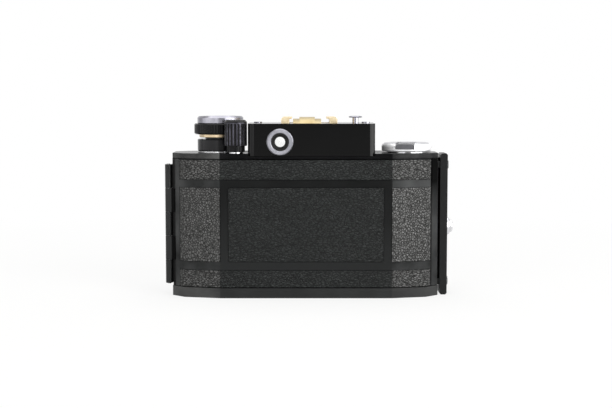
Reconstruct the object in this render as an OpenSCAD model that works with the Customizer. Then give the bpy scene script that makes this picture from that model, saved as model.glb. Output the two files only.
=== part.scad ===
// Miniature camera for 35 mm film, seen from behind in its working position.
// +X is to the right as seen from behind, +Y is the way the lens looks, +Z is up.
// The origin is the mouth of the tripod socket in the middle of the base.

/* [Body outline] */
// Width of the body from end to end
body_w = 123.1; // [122.5:0.1:124]
// Distance of the right end from the lens's side of the middle, the left end takes the rest
right_end = 61.2; // [61:0.1:61.8]
// Thickness of the body from back to front
body_d = 34; // [33.8:0.2:36]
// Half width of the flat middle of the back and the front
flat_half = 39.3; // [38.4:0.1:40.4]
// Width of the steep end facet, from the shoulder to the end
shoulder_in = 5.9; // [5.6:0.1:6.1]
// How far the shoulder lies in from the back face
shoulder_drop = 4; // [3.6:0.1:4.2]
// How far the end of the facet lies in from the back face
end_drop = 9.8; // [9.4:0.1:10.2]
// Height of the base pan
base_h = 4.6; // [4.4:0.1:5]
// Height of the casting and the back between base pan and top plate
mid_h = 59.2; // [58.8:0.2:61]
// Thickness of the top plate
deck_t = 2.45; // [2.2:0.05:2.7]
// How far the metal lies below the leather surface
metal_inset = 0.25; // [0.15:0.05:0.35]

/* [Leather] */
// Thickness of the leather
leather_t = 0.8; // [0.6:0.1:1]
// Gap round each leather panel in its pocket
leather_gap = 0.2; // [0.1:0.05:0.3]
// Half width of the middle panel
panel_half = 35.4; // [32:0.1:36.5]
// How far the leather ends short of the ends of the body
wrap_in = 3.9; // [3.5:0.1:4.2]
// Height of the smooth upper band
upper_band = 3.8; // [3:0.1:4.6]
// Height of the smooth lower band
lower_band = 4.2; // [3:0.1:5]
// Height of the leather strip above the upper band
top_strip = 8.9; // [7:0.1:10]
// Height of the leather strip below the lower band
bottom_strip = 7.7; // [6:0.1:9]

/* [Back door] */
// Wall of the door shell
door_wall = 1.5; // [1.4:0.1:1.7]
// Thickness of the flanges along the top and bottom of the door
door_flange = 1.2; // [1:0.1:1.3]
// Gap between the door and the base pan, and the door and the top plate
door_gap = 0.25; // [0.2:0.05:0.35]
// Gap along the end seams between the door and the casting
seam_gap = 0.2; // [0.15:0.05:0.3]
// Gap between the door shell and the rim of the casting inside it
rim_gap = 0.4; // [0.35:0.05:0.5]
// Radius of the hinge barrel
hinge_r = 1.6; // [1.4:0.05:1.65]
// Distance of the hinge line out from the end of the body
hinge_out = 1.75; // [1.7:0.05:2]
// Distance of the hinge line in front of the end seam
hinge_in = 1.4; // [1.2:0.1:1.6]
// How much shorter the hinge barrel is than the back
hinge_short = 4; // [3:0.2:8]
// Radius of the hinge pin
hinge_pin_r = 0.8; // [0.6:0.1:0.9]
// Running clearance of pins and shafts in their bores
run_gap = 0.05; // [0.02:0.01:0.08]

/* [Film path] */
// Height of the middle of the film above the base
film_z = 33; // [32.6:0.1:33.4]
// Depth of the film rails in front of the back face
film_in = 4.2; // [4.1:0.1:4.4]
// Width of the picture
frame_w = 36; // [35:0.1:36.5]
// Height of the picture
frame_h = 24; // [23:0.1:24.5]
// Width of the film
film_w = 35; // [34.8:0.1:35.2]
// Place of the rewind shaft and the cassette across the body
rewind_x = 46.9; // [46.7:0.1:47]
// Place of the rewind shaft from the middle of the body's thickness
rewind_y = 0.5; // [0:0.1:0.8]
// Radius of the cassette chamber
cassette_r = 12.8; // [12.7:0.1:12.9]
// Place of the winding shaft across the body
wind_x = -40.15; // [-40.6:0.05:-39.8]
// Place of the winding shaft from the middle of the body's thickness
wind_y = 4.3; // [4.1:0.1:4.6]
// Radius of the take-up chamber
takeup_r = 11; // [10.2:0.1:11.2]
// Place of the sprocket drum across the body
sprocket_x = -27.3; // [-27.5:0.1:-27]
// Radius of the sprocket drum under the film
sprocket_r = 6.05; // [6:0.01:6.1]
// Height of the chambers
chamber_h = 49.9; // [49:0.1:50.4]
// Floor of the chambers above the base
chamber_z = 7.6; // [7.4:0.1:7.8]

/* [Winding knob] */
// Radius of the fixed black collar
collar_r = 10.7; // [10:0.1:11.2]
// Height of the fixed black collar
collar_h = 5.65; // [5.2:0.05:5.8]
// Height of the neck of the collar, which fills the air gap under the brass disc
knob_air = 0.8; // [0.7:0.1:1.2]
// Radius of the neck of the collar
collar_neck_r = 7.1; // [6:0.1:8]
// Radius of the brass disc
brass_r = 9.9; // [9:0.1:10.6]
// Thickness of the brass disc
brass_t = 1.45; // [1.2:0.05:1.8]
// Radius of the fluted black knob
knob_r = 12.2; // [11.4:0.1:12.2]
// Height of the fluted black knob
knob_h = 5; // [4.4:0.05:5.4]
// Radius of the chrome dial
dial_r = 10.75; // [10:0.05:11.2]
// Height of the chrome dial
dial_h = 3.4; // [3:0.1:4]
// Radius of the winding shaft
wind_shaft_r = 2.2; // [2:0.1:2.4]

/* [Speed drum] */
// Place of the speed drum across the body
speed_x = -32.15; // [-32.2:0.05:-32]
// Place of the speed drum from the middle of the body's thickness
speed_y = -11.5; // [-11.6:0.05:-11.4]
// Radius of the speed drum over its ribs
speed_r = 5.2; // [4.8:0.05:5.2]
// Height of the ribbed part
speed_h = 11.9; // [11:0.1:12.4]
// Height of the underside of the ribs above the top plate
speed_lift = 3.3; // [3:0.1:3.8]
// Radius of the serrated neck under the ribs
speed_neck_r = 4.2; // [3.6:0.1:4.4]
// Count of the ribs
speed_ribs = 20; // [16:1:24]

/* [Rewind] */
// Radius of the rewind disc
rewind_r = 11.6; // [11:0.1:12]
// Height of the rewind disc
rewind_h = 3.9; // [3.7:0.1:4.4]
// Air gap between the rewind disc and the collar under it
rewind_air = 0.25; // [0.2:0.05:0.4]
// Width of the folding key
key_w = 8.5; // [7.6:0.1:9]
// Thickness of the folding key
key_t = 2.4; // [2.2:0.05:2.5]
// Radius of the rewind shaft
rewind_shaft_r = 2; // [1.8:0.1:2.2]

/* [Finder housing] */
// Gap between the speed drum and the housing
drum_gap = 0.45; // [0.4:0.05:0.6]
// Gap between the housing and the rewind disc
disc_gap = 3.8; // [3.6:0.1:4]
// Height of the housing above the top plate
house_h = 13.6; // [13.4:0.05:14]
// Depth of the housing from the back face
house_d = 31; // [30:0.2:32]
// Radius of the housing's upright corners
house_round = 3; // [2.4:0.1:3.6]
// Wall of the housing
house_wall = 1.4; // [1.2:0.1:1.6]
// How far the housing's skirt laps down over the edge of the top plate
skirt_h = 1.1; // [0.8:0.1:1.3]
// Place of the eyepiece across the body
eye_x = -11.8; // [-12:0.1:-11.4]
// Height of the eyepiece above the top plate
eye_up = 5.25; // [5.15:0.05:5.45]
// Outer radius of the eyepiece ring
eye_r = 6.05; // [5.4:0.05:6.2]
// Inner radius of the eyepiece ring
eye_ring_r = 4.1; // [3.6:0.1:4.2]
// Radius of the sight hole
eye_hole_r = 2.35; // [2:0.05:2.6]
// Width of the finder window in the front of the housing
window_w = 14; // [12:0.5:14.5]
// Height of the finder window
window_h = 9; // [8:0.2:9.2]

/* [Accessory shoe] */
// Place of the middle of the shoe across the body
shoe_x = 1.5; // [1.2:0.1:2]
// Outer width of the shoe
shoe_w = 25.8; // [25.4:0.1:26.4]
// Width of the slot that takes the foot of an accessory
slot_w = 18.6; // [18.4:0.1:18.8]
// Height of the slot
slot_h = 1.95; // [1.9:0.05:2.1]
// Width of the opening between the two lips
lip_gap = 16; // [15:0.1:16.4]
// Thickness of the lips
lip_t = 0.9; // [0.8:0.1:1.1]
// Length of the shoe
shoe_l = 18; // [17:0.2:19]
// Thickness of the spring plate on the floor of the slot
spring_t = 0.5; // [0.35:0.05:0.6]
// Width of the lower of the two bowed leaves of the spring
arch_w = 13; // [11:0.2:14]

/* [Release and screws] */
// Place of the release button across the body
release_x = 23; // [22.6:0.1:23.4]
// Radius of the release cap
cap_r = 3.2; // [2.8:0.1:3.4]
// Radius of the release stem
stem_r = 1.4; // [1.2:0.1:1.5]
// Travel of the release button, which its cap stands clear of the housing for
release_travel = 1.8; // [1.6:0.05:2]
// Radius of the screw heads on top of the housing
top_screw_r = 1.9; // [1.6:0.1:2]

/* [Latch] */
// Thickness of the latch rail
rail_t = 3.4; // [3.2:0.05:3.6]
// Gap between the end of the body and the rail
rail_gap = 1; // [0.9:0.05:1.2]
// Depth of the rail from back to front
rail_d = 12; // [11:0.5:13]
// Height of the rail
rail_h = 65.85; // [65:0.05:67]
// Height of the catch above the base
catch_z = 31.8; // [31:0.1:32.6]
// Radius of the catch's bezel
bezel_r = 4.2; // [3.8:0.1:4.4]
// Radius of the catch button
button_r = 3; // [2.6:0.1:3.1]
// Travel of the catch button
catch_travel = 1.1; // [0.9:0.05:1.2]

/* [Lens] */
// Place of the lens axis across the body
lens_x = 2.4; // [2.2:0.1:2.6]
// Outer radius of the mounting flange
flange_r = 21.5; // [21:0.1:22]
// Outer radius of the tube that the focusing ring turns on
tube_r = 18; // [17.8:0.1:18.2]
// Radius of the sliding barrel
barrel_r = 15.5; // [15.3:0.1:15.6]
// Outer radius of the focusing ring
focus_r = 21.3; // [20.6:0.1:21.6]
// Outer radius of the aperture ring
aperture_r = 17.5; // [17:0.1:17.8]
// Travel of the barrel from infinity to the nearest distance, which sets its tube's length
focus_travel = 4; // [3.6:0.1:4.4]
// Radius of the circle that the blade pivots lie on
blade_pivot_r = 12.1; // [12:0.05:12.2]
// Inner radius of a blade's crescent when open
blade_in_r = 8.4; // [8:0.1:8.6]
// Outer radius of a blade's crescent when open
blade_out_r = 11.4; // [11.2:0.05:11.5]
// Thickness of a blade
blade_t = 0.2; // [0.15:0.05:0.25]

/* [Hidden] */

$fn = 96;
// Overshoot of cutting shapes
cut = 1;
// Clearance between fixed parts that fit into each other
fit = 0.02;

left_end = right_end - body_w;
back_y = -body_d / 2;
front_y = body_d / 2;
seam_y = back_y + end_drop;
case_y = seam_y + seam_gap;
deck_z = base_h + mid_h;
top_z = deck_z + deck_t;
house_top = top_z + house_h;
right_x = right_end - metal_inset;
left_x = left_end + metal_inset;
wrap_right = right_end - wrap_in;
wrap_left = left_end + wrap_in;

door_z0 = base_h + door_gap;
door_z1 = deck_z - door_gap;
rim_z0 = door_z0 + door_flange + 0.35;
rim_z1 = door_z1 - door_flange - 0.35;
rim_inset = door_wall + rim_gap;
chamber_top = chamber_z + chamber_h;
film_y = back_y + film_in;
gate_back = film_y + 0.5;

hinge_x = left_end - hinge_out;
hinge_y = seam_y + hinge_in;
hinge_l = mid_h - hinge_short;
hinge_z0 = door_z0 + 0.8;

wind_ring_t = 0.35;
collar_z0 = top_z + wind_ring_t;
brass_z0 = collar_z0 + collar_h + knob_air;
knob_z0 = brass_z0 + brass_t;
dial_z0 = knob_z0 + knob_h;
dial_top = dial_z0 + dial_h;

rewind_ring_t = 0.3;
rewind_z0 = top_z + rewind_ring_t + rewind_air;
rewind_top = rewind_z0 + rewind_h;
key_z0 = rewind_z0 + 1.05;
key_pivot_y = rewind_y + 4.5;
key_turn = -8.4;
key_pivot_z = key_z0 + key_t / 2;

house_x = speed_x + speed_r + drum_gap;
house_w = rewind_x - rewind_r - disc_gap - house_x;
eye_z = top_z + eye_up;
rail_x = right_end + rail_gap;
rail_y = back_y + 11;
catch_y = rail_y + rail_d / 2 - 1.5;
rail_screw_z = [base_h + 1.5, deck_z - 3.2];

lens_z = film_z;
plate_y = front_y + 1.2;
flange_y = plate_y + 1.8;
tube_y = flange_y + focus_travel + 3;
ring_y = tube_y + 1.3;
barrel_y = ring_y + 0.9;
stop_y = barrel_y + 2;
bezel_y = stop_y + 4.2;
iris_y = front_y + 3.6;
iris_l = 4.4;
iris_room_r = 12.9;
layer_pitch = 0.8;
blades = 5;

// Small sizes that the modules share
sprocket_y = film_y + sprocket_r;
sprocket_shaft_r = 1.5;
crate_w = 41.2;
crate_h = 31.2;
crate_y = gate_back + 1.5;
gate_frame_h = film_w + 4.4;
roller_off = crate_w / 2 - 3.4;
roller_r = 2.3;
roller_y = crate_y + 5;
blind_t = 0.3;
bush_r = 5;
bush_h = 6;
base_screw_places = [for (s = [-1, 1]) for (y = [-4.5, 10]) [s * (flat_half + 6.7), y]];
base_screw_l = 6;
keeper_x = right_end - 0.85;
keeper_h = 7;
front_z0 = base_h + 2;
front_z1 = deck_z - 2;
front_gap_left = 21.4;
front_gap_right = 26.2;
speed_pin_r = 1.6;
speed_ring_t = 0.45;
cap_up = release_travel + 0.65;
eye_neck_r = 5.2;
glass_t = 1.2;
shoe_sink = 1;
shoe_y0 = -9;
top_screw_x = [-22.4, 27.9];
top_screw_y = 2;
catch_stem_r = 1.4;
plate_gap = 0.6;
plate_t = 1;
spool_flange_r = 9;
flange_screw_r = 19.8;
rear_r = 9.3;
well_depth = 0.4;
well_x0 = eye_x + window_w / 2 + 1.8;
front_r = 10.3;

// Panel heights on the back, from the bottom up
strip_z0 = door_z0 + 0.2;
strip_z1 = strip_z0 + bottom_strip - 0.1;
panel_z0 = strip_z1 + lower_band;
upper_z1 = door_z1 - 0.3;
upper_z0 = upper_z1 - top_strip;
panel_z1 = upper_z0 - upper_band;

// Lengths of the hinge knuckles, three on the body and two on the door between them
knuckle_gap = 0.12;
knuckle_l = (hinge_l - 4 * knuckle_gap) / 5;
function knuckle_z(i) = hinge_z0 + i * (knuckle_l + knuckle_gap);

// Outline of the body in plan, anticlockwise from the left end of the flat back
plan = [
    [-flat_half, back_y], [flat_half, back_y],
    [right_end - shoulder_in, back_y + shoulder_drop], [right_end, back_y + end_drop],
    [right_end, front_y - end_drop], [right_end - shoulder_in, front_y - shoulder_drop],
    [flat_half, front_y], [-flat_half, front_y],
    [left_end + shoulder_in, front_y - shoulder_drop], [left_end, front_y - end_drop],
    [left_end, back_y + end_drop], [left_end + shoulder_in, back_y + shoulder_drop]
];

// Corner b of an outline after both of its edges have moved in by t
function left_of(v) = [-v[1], v[0]] / norm(v);
function moved_corner(a, b, c, t) =
    let (n = left_of(b - a), m = left_of(c - b)) b + (n + m) * t / (1 + n * m);
// The whole outline moved in by t
function inset(p, t) = [
    for (i = [0:len(p) - 1])
        moved_corner(p[(i + len(p) - 1) % len(p)], p[i], p[(i + 1) % len(p)], t)
];

// Flat region of the plan between two depths
module plan_region(t, y0, y1) {
    intersection() {
        polygon(inset(plan, t));
        translate([left_end - 5, y0]) square([body_w + 10, y1 - y0]);
    }
}

module plan_block(t, y0, y1, z0, z1) {
    translate([0, 0, z0]) linear_extrude(z1 - z0) plan_region(t, y0, y1);
}

// Box from its lowest and highest corners
module block(a, b) {
    translate(a) cube(b - a);
}

// Upright round piece from one height to another
module post(x, y, r, z0, z1) {
    translate([x, y, z0]) cylinder(r = r, h = z1 - z0);
}

// Turns a shape drawn about the Z axis so that it lies along the lens axis
module on_lens_axis(y = 0) {
    translate([lens_x, y, lens_z]) rotate([-90, 0, 0]) children();
}

// Turns a shape drawn about the Z axis so that it points along +X
module along_x(x, y, z) {
    translate([x, y, z]) rotate([0, 90, 0]) children();
}

// Ring about the lens axis between two depths
module lens_tube(r, hole, y0, y1) {
    on_lens_axis(y0) difference() {
        cylinder(r = r, h = y1 - y0);
        translate([0, 0, -cut]) cylinder(r = hole, h = y1 - y0 + 2 * cut);
    }
}

// Slotted screw with its head on top and its shank below, drawn about the Z axis
module screw(head_r, head_h, shank_r, shank_l, slot_w = 0.5) {
    difference() {
        cylinder(r = head_r, h = head_h);
        translate([-head_r - cut, -slot_w / 2, head_h * 0.5])
            cube([2 * (head_r + cut), slot_w, head_h]);
    }
    translate([0, 0, -shank_l]) cylinder(r = shank_r, h = shank_l);
}

module leather_piece(x0, x1, z0, z1) {
    translate([0, 0, z0]) linear_extrude(z1 - z0) intersection() {
        difference() {
            polygon(plan);
            polygon(inset(plan, leather_t));
        }
        translate([x0, back_y - cut]) square([x1 - x0, end_drop]);
    }
}

module leather_pocket(x0, x1, z0, z1) {
    g = leather_gap;
    translate([0, 0, z0 - g]) linear_extrude(z1 - z0 + 2 * g) intersection() {
        difference() {
            polygon(inset(plan, -cut));
            polygon(inset(plan, leather_t));
        }
        translate([x0 - g, back_y - 2 * cut]) square([x1 - x0 + 2 * g, end_drop + cut]);
    }
}

// Whole form of the chassis
module chassis() {
    difference() {
        union() {
            // Foot that stands in the base pan
            plan_block(metal_inset + 1.3, back_y - cut, front_y + cut, 1.3, base_h);
            // Front half at the full outline
            plan_block(metal_inset, case_y, front_y + cut, base_h, deck_z);
            // Rim that the door closes over
            plan_block(rim_inset, gate_back, case_y + cut, rim_z0, rim_z1);
            plan_block(rim_inset, back_y + door_wall + rim_gap, gate_back, rim_z0, chamber_z);
            plan_block(rim_inset, back_y + door_wall + rim_gap, gate_back, chamber_top, rim_z1);
        }
        // Cassette chamber, open to the back
        post(rewind_x, rewind_y, cassette_r, chamber_z, chamber_top);
        block([rewind_x - cassette_r + 0.2, back_y - cut, chamber_z],
              [rewind_x + cassette_r - 0.2, rewind_y, chamber_top]);
        // Take-up chamber and the bay of the sprocket, open to the back
        post(wind_x, wind_y, takeup_r, chamber_z, chamber_top);
        block([wind_x - takeup_r + 0.2, back_y - cut, chamber_z], [sprocket_x, wind_y, chamber_top]);
        post(sprocket_x, sprocket_y, sprocket_r + 1.55, chamber_z, chamber_top);
        block([sprocket_x - cut, back_y - cut, chamber_z],
              [sprocket_x + sprocket_r + 1.4, sprocket_y, chamber_top]);
        // Seat of the gate frame
        block([lens_x - crate_w / 2 - fit, gate_back - cut, film_z - gate_frame_h / 2 - fit],
              [lens_x + crate_w / 2 + fit, crate_y, film_z + gate_frame_h / 2 + fit]);
        // Room for the shutter and the cone of light in front of it
        block([lens_x - crate_w / 2 - fit, crate_y - fit, lens_z - crate_h / 2 - fit],
              [lens_x + crate_w / 2 + fit, front_y - 2.6, lens_z + crate_h / 2 + fit]);
        // Throat for the tail of the lens mount
        on_lens_axis(front_y - 4) cylinder(r = tube_r - 1 + fit, h = 6);
        // Bearings of the shafts
        post(wind_x, wind_y, wind_shaft_r + run_gap, base_h + 0.6, deck_z + cut);
        post(sprocket_x, sprocket_y, sprocket_shaft_r + run_gap, rim_z0 + 0.1, chamber_top + 2.4);
        post(rewind_x, rewind_y, rewind_shaft_r + run_gap, chamber_top - cut, deck_z + cut);
        post(release_x, 0, stem_r + run_gap, deck_z - 8, deck_z + cut);
        // Seats of the bush, the screws and the catch
        post(0, 0, bush_r + fit, 0, bush_h + fit);
        for (p = base_screw_places) post(p[0], p[1], 0.9 + fit, 0, base_screw_l + fit);
        for (z = rail_screw_z)
            along_x(right_x - 6, catch_y, z) cylinder(r = 1 + fit, h = 8);
        // Notch for the keeper in the right end
        block([keeper_x - 0.2, case_y - cut, catch_z - keeper_h / 2 - 0.4],
              [right_end + cut, catch_y + 2.7, catch_z + keeper_h / 2 + 0.4]);
        // Pockets of the leather on the front
        mirror([0, 1, 0]) {
            leather_pocket(wrap_left, -front_gap_left, front_z0, front_z1);
            leather_pocket(front_gap_right, wrap_right, front_z0, front_z1);
        }
    }
}

// The chassis is cast in five blocks, a floor and a ceiling with three walls between them
module main_casting() {
    x0 = lens_x - crate_w / 2 - 0.8;
    x1 = lens_x + crate_w / 2 + 0.8;
    z0 = chamber_z;
    z1 = chamber_top;
    far = body_w;
    color([0.14, 0.14, 0.14]) for (b = [
        [[-far, -far, 0], [far, far, z0 - fit]],
        [[-far, -far, z1 + fit], [far, far, deck_z + cut]],
        [[-far, -far, z0 + fit], [x0 - fit, far, z1 - fit]],
        [[x0 + fit, -far, z0 + fit], [x1 - fit, far, z1 - fit]],
        [[x1 + fit, -far, z0 + fit], [far, far, z1 - fit]]
    ]) intersection() {
        chassis();
        block(b[0], b[1]);
    }
}

// Plate with the picture gate, and the film rails and guides that stand on it
module gate_frame() {
    x0 = lens_x - crate_w / 2;
    x1 = lens_x + crate_w / 2;
    rail_off = frame_h / 2 + 1.4;
    color([0.3, 0.3, 0.31]) difference() {
        union() {
            block([x0, gate_back, film_z - gate_frame_h / 2],
                  [x1, crate_y, film_z + gate_frame_h / 2]);
            for (s = [-1, 1]) {
                block([x0, film_y, film_z + s * rail_off - 0.8],
                      [x1, gate_back + cut, film_z + s * rail_off + 0.8]);
                block([x0, film_y - 0.3, film_z + s * (film_w / 2 + 0.6) - 0.5],
                      [x1, gate_back + cut, film_z + s * (film_w / 2 + 0.6) + 0.5]);
            }
        }
        block([lens_x - frame_w / 2, film_y - cut, film_z - frame_h / 2],
              [lens_x + frame_w / 2, crate_y + cut, film_z + frame_h / 2]);
    }
}

module base_pan() {
    color([0.1, 0.1, 0.1]) difference() {
        plan_block(0, back_y - cut, front_y + cut, 0, base_h);
        plan_block(metal_inset + 1.3 - fit, back_y, front_y, 1.3, base_h + cut);
        post(0, 0, bush_r + fit, -cut, base_h);
        for (p = base_screw_places) {
            post(p[0], p[1], 0.9 + fit, -cut, base_h);
            post(p[0], p[1], 1.9 + fit, -cut, 0.8);
        }
    }
}

module base_screws() {
    color([0.75, 0.75, 0.73]) for (p = base_screw_places)
        translate([p[0], p[1], 0.8]) rotate([180, 0, 0]) screw(1.9, 0.75, 0.9, base_screw_l - 0.8);
}

module tripod_bush() {
    color([0.78, 0.66, 0.4]) difference() {
        post(0, 0, bush_r, 0, bush_h);
        post(0, 0, 2.57, -cut, bush_h - 1.2);
    }
}

module top_plate() {
    color([0.08, 0.08, 0.08]) difference() {
        plan_block(metal_inset + 0.05, back_y - cut, front_y + cut, deck_z, top_z);
        // Step that the skirt of the housing laps over
        block([house_x - fit, back_y - cut, top_z - skirt_h - fit],
              [house_x + house_w + fit, back_y + house_wall + fit, top_z + cut]);
        // Shallow well for the escapement
        block([well_x0, back_y + house_wall + 0.2, top_z - well_depth],
              [release_x - 1.5, front_y - 4.5, top_z + cut]);
        post(wind_x, wind_y, wind_shaft_r + 0.3, deck_z - cut, top_z + cut);
        post(rewind_x, rewind_y, rewind_shaft_r + 0.3, deck_z - cut, top_z + cut);
        post(speed_x, speed_y, speed_pin_r + run_gap, deck_z - cut, top_z + cut);
        post(release_x, 0, stem_r + run_gap, deck_z - cut, top_z + cut);
    }
}

// Bright rings that stand on the top plate under the three knobs
module deck_rings() {
    color([0.85, 0.85, 0.86]) {
        difference() {
            post(wind_x, wind_y, collar_r - 0.9, top_z, collar_z0);
            post(wind_x, wind_y, wind_shaft_r + 0.3, top_z - cut, collar_z0 + cut);
        }
        difference() {
            post(speed_x, speed_y, speed_neck_r - 1, top_z, top_z + speed_ring_t);
            post(speed_x, speed_y, speed_pin_r + run_gap, top_z - cut, top_z + speed_ring_t + cut);
        }
        difference() {
            post(rewind_x, rewind_y, rewind_r - 2.4, top_z, top_z + rewind_ring_t);
            post(rewind_x, rewind_y, rewind_shaft_r + 0.3, top_z - cut, top_z + 2);
        }
    }
}

// Plan of the housing with rounded corners, moved in by t
module housing_plan(t) {
    x0 = house_x + t;
    x1 = house_x + house_w - t;
    y0 = back_y + t;
    y1 = back_y + house_d - t;
    r = house_round - t;
    difference() {
        translate([x0, y0]) square([x1 - x0, y1 - y0]);
        for (s = [-1, 1]) for (u = [-1, 1])
            translate([s > 0 ? x1 - r : x0 + r, u > 0 ? y1 - r : y0 + r]) difference() {
                translate([s > 0 ? 0 : -r - cut, u > 0 ? 0 : -r - cut]) square(r + cut);
                circle(r = r);
            }
    }
}

module finder_housing() {
    color([0.05, 0.05, 0.05]) difference() {
        union() {
            translate([0, 0, top_z]) linear_extrude(house_h) housing_plan(0);
            // Skirt over the edge of the top plate
            translate([0, 0, top_z - skirt_h]) linear_extrude(skirt_h) intersection() {
                housing_plan(0);
                translate([house_x, back_y - cut]) square([house_w, house_wall + cut]);
            }
        }
        translate([0, 0, top_z - 0.01]) linear_extrude(house_h - 2.4) housing_plan(house_wall);
        // Eyepiece bore and finder window
        translate([eye_x, back_y - cut, eye_z]) rotate([-90, 0, 0])
            cylinder(r = eye_neck_r + fit, h = house_wall + 2 * cut);
        block([eye_x - window_w / 2, back_y + house_d - house_wall - cut, eye_z - window_h / 2],
              [eye_x + window_w / 2, back_y + house_d + cut, eye_z + window_h / 2]);
        // Seat of the accessory shoe
        block([shoe_x - shoe_w / 2 - fit, shoe_y0 - fit, house_top - shoe_sink],
              [shoe_x + shoe_w / 2 + fit, shoe_y0 + shoe_l + fit, house_top + cut]);
        post(release_x, 0, stem_r + run_gap, house_top - 5, house_top + cut);
        for (x = top_screw_x) post(x, top_screw_y, 0.8 + fit, house_top - 5, house_top + cut);
    }
}

module housing_screws() {
    color([0.86, 0.86, 0.87]) for (x = top_screw_x)
        translate([x, top_screw_y, house_top]) rotate([0, 0, 35]) screw(top_screw_r, 0.45, 0.8, 2.4);
}

// Block inside the housing that holds the finder's two glasses and keeps out stray light
module finder_block() {
    z1 = house_top - 2.5;
    color([0.12, 0.12, 0.12]) difference() {
        block([eye_x - window_w / 2 - 1.6, back_y + house_wall, top_z],
              [eye_x + window_w / 2 + 1.6, back_y + house_d - house_wall - glass_t, z1]);
        block([eye_x - window_w / 2 + 0.4, back_y + house_wall + 4.2, eye_z - window_h / 2 + 0.2],
              [eye_x + window_w / 2 - 0.4, back_y + house_d, eye_z + window_h / 2 - 0.2]);
        translate([eye_x, back_y, eye_z]) rotate([-90, 0, 0]) cylinder(r = 4.2, h = 8);
        translate([eye_x, back_y, eye_z]) rotate([-90, 0, 0])
            cylinder(r = eye_neck_r + fit, h = house_wall + 1.6 + glass_t);
    }
}

module finder_glass() {
    color([0.8, 0.86, 0.9, 0.4]) {
        translate([eye_x, back_y + house_wall + 1.6, eye_z]) rotate([-90, 0, 0])
            cylinder(r = eye_neck_r, h = glass_t);
        block([eye_x - window_w / 2 - 1, back_y + house_d - house_wall - glass_t,
               eye_z - window_h / 2 - 0.6],
              [eye_x + window_w / 2 + 1, back_y + house_d - house_wall, eye_z + window_h / 2 + 0.6]);
    }
}

module eyepiece_ring() {
    color([0.8, 0.8, 0.81]) translate([eye_x, back_y, eye_z]) rotate([90, 0, 0])
        rotate_extrude() polygon([
            [eye_ring_r, -house_wall - 0.8], [eye_neck_r, -house_wall - 0.8], [eye_neck_r, 0],
            [eye_r, 0], [eye_r, 0.6], [eye_r - 0.4, 1.1], [eye_ring_r + 0.2, 1.1], [eye_ring_r, 0.9]
        ]);
}

module eyepiece_cup() {
    color([0.04, 0.04, 0.04]) translate([eye_x, back_y, eye_z]) rotate([90, 0, 0])
        rotate_extrude() polygon([
            [eye_hole_r, -house_wall - 0.8], [eye_ring_r - fit, -house_wall - 0.8],
            [eye_ring_r - fit, 0.7], [eye_hole_r + 0.9, 0.7], [eye_hole_r, -0.4]
        ]);
}

// Shoe with its slot running from back to front
module accessory_shoe() {
    z0 = house_top - shoe_sink;
    slot_z = house_top - spring_t;
    lip_z = house_top + slot_h;
    color([0.83, 0.68, 0.38])
        translate([shoe_x, shoe_y0 + shoe_l, z0]) rotate([90, 0, 0]) linear_extrude(shoe_l)
            polygon([
                [-shoe_w / 2, 0], [shoe_w / 2, 0],
                [shoe_w / 2, lip_z - z0], [shoe_w / 2 - 0.6, lip_z - z0 + lip_t - 0.2],
                [shoe_w / 2 - 1.2, lip_z - z0 + lip_t],
                [lip_gap / 2, lip_z - z0 + lip_t], [lip_gap / 2, lip_z - z0],
                [slot_w / 2, lip_z - z0], [slot_w / 2, slot_z - z0],
                [-slot_w / 2, slot_z - z0], [-slot_w / 2, lip_z - z0],
                [-lip_gap / 2, lip_z - z0], [-lip_gap / 2, lip_z - z0 + lip_t],
                [-shoe_w / 2 + 1.2, lip_z - z0 + lip_t],
                [-shoe_w / 2 + 0.6, lip_z - z0 + lip_t - 0.2], [-shoe_w / 2, lip_z - z0]
            ]);
}

// Bowed leaf along the slot, w wide, rising by h over the floor
module spring_leaf(w, h) {
    span = shoe_l - 4;
    r = (span * span / 4 + h * h) / (2 * h);
    translate([shoe_x - 1 - w / 2, shoe_y0 + shoe_l / 2, house_top + h - r]) rotate([90, 0, 90])
        linear_extrude(w) intersection() {
            difference() {
                circle(r = r);
                circle(r = r - spring_t);
            }
            translate([-span, r - h - 0.3]) square([2 * span, h + cut]);
        }
}

// Spring that lies on the floor of the slot, with two bowed leaves that press on the foot
module shoe_spring() {
    color([0.9, 0.76, 0.46]) {
        block([shoe_x - slot_w / 2 + 0.15, shoe_y0 + 1, house_top - spring_t],
              [shoe_x + slot_w / 2 - 0.15, shoe_y0 + shoe_l - 1, house_top]);
        spring_leaf(arch_w, slot_h);
        spring_leaf(arch_w * 0.55, slot_h + lip_t - 0.1);
    }
}

module wind_collar() {
    color([0.07, 0.07, 0.07]) translate([wind_x, wind_y, collar_z0]) rotate_extrude() polygon([
        [wind_shaft_r + run_gap, 0], [collar_r - 0.4, 0], [collar_r, 0.5],
        [collar_r, collar_h - 0.3], [collar_r - 0.3, collar_h], [collar_neck_r, collar_h],
        [collar_neck_r, collar_h + knob_air - 0.1],
        [wind_shaft_r + run_gap, collar_h + knob_air - 0.1]
    ]);
}

module knuckle(i) {
    post(hinge_x, hinge_y, hinge_r, knuckle_z(i), knuckle_z(i) + knuckle_l);
}

module hinge_leaf_body() {
    wing = hinge_y + hinge_r;
    color([0.1, 0.1, 0.1]) difference() {
        union() {
            for (i = [0, 2, 4]) {
                knuckle(i);
                block([hinge_x, wing - 0.8, knuckle_z(i)],
                      [left_x, wing + 0.4, knuckle_z(i) + knuckle_l]);
            }
            block([left_x - 0.7, wing + 0.15, hinge_z0], [left_x, wing + 9, hinge_z0 + hinge_l]);
        }
        post(hinge_x, hinge_y, hinge_pin_r + run_gap, 0, deck_z);
    }
}

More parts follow.
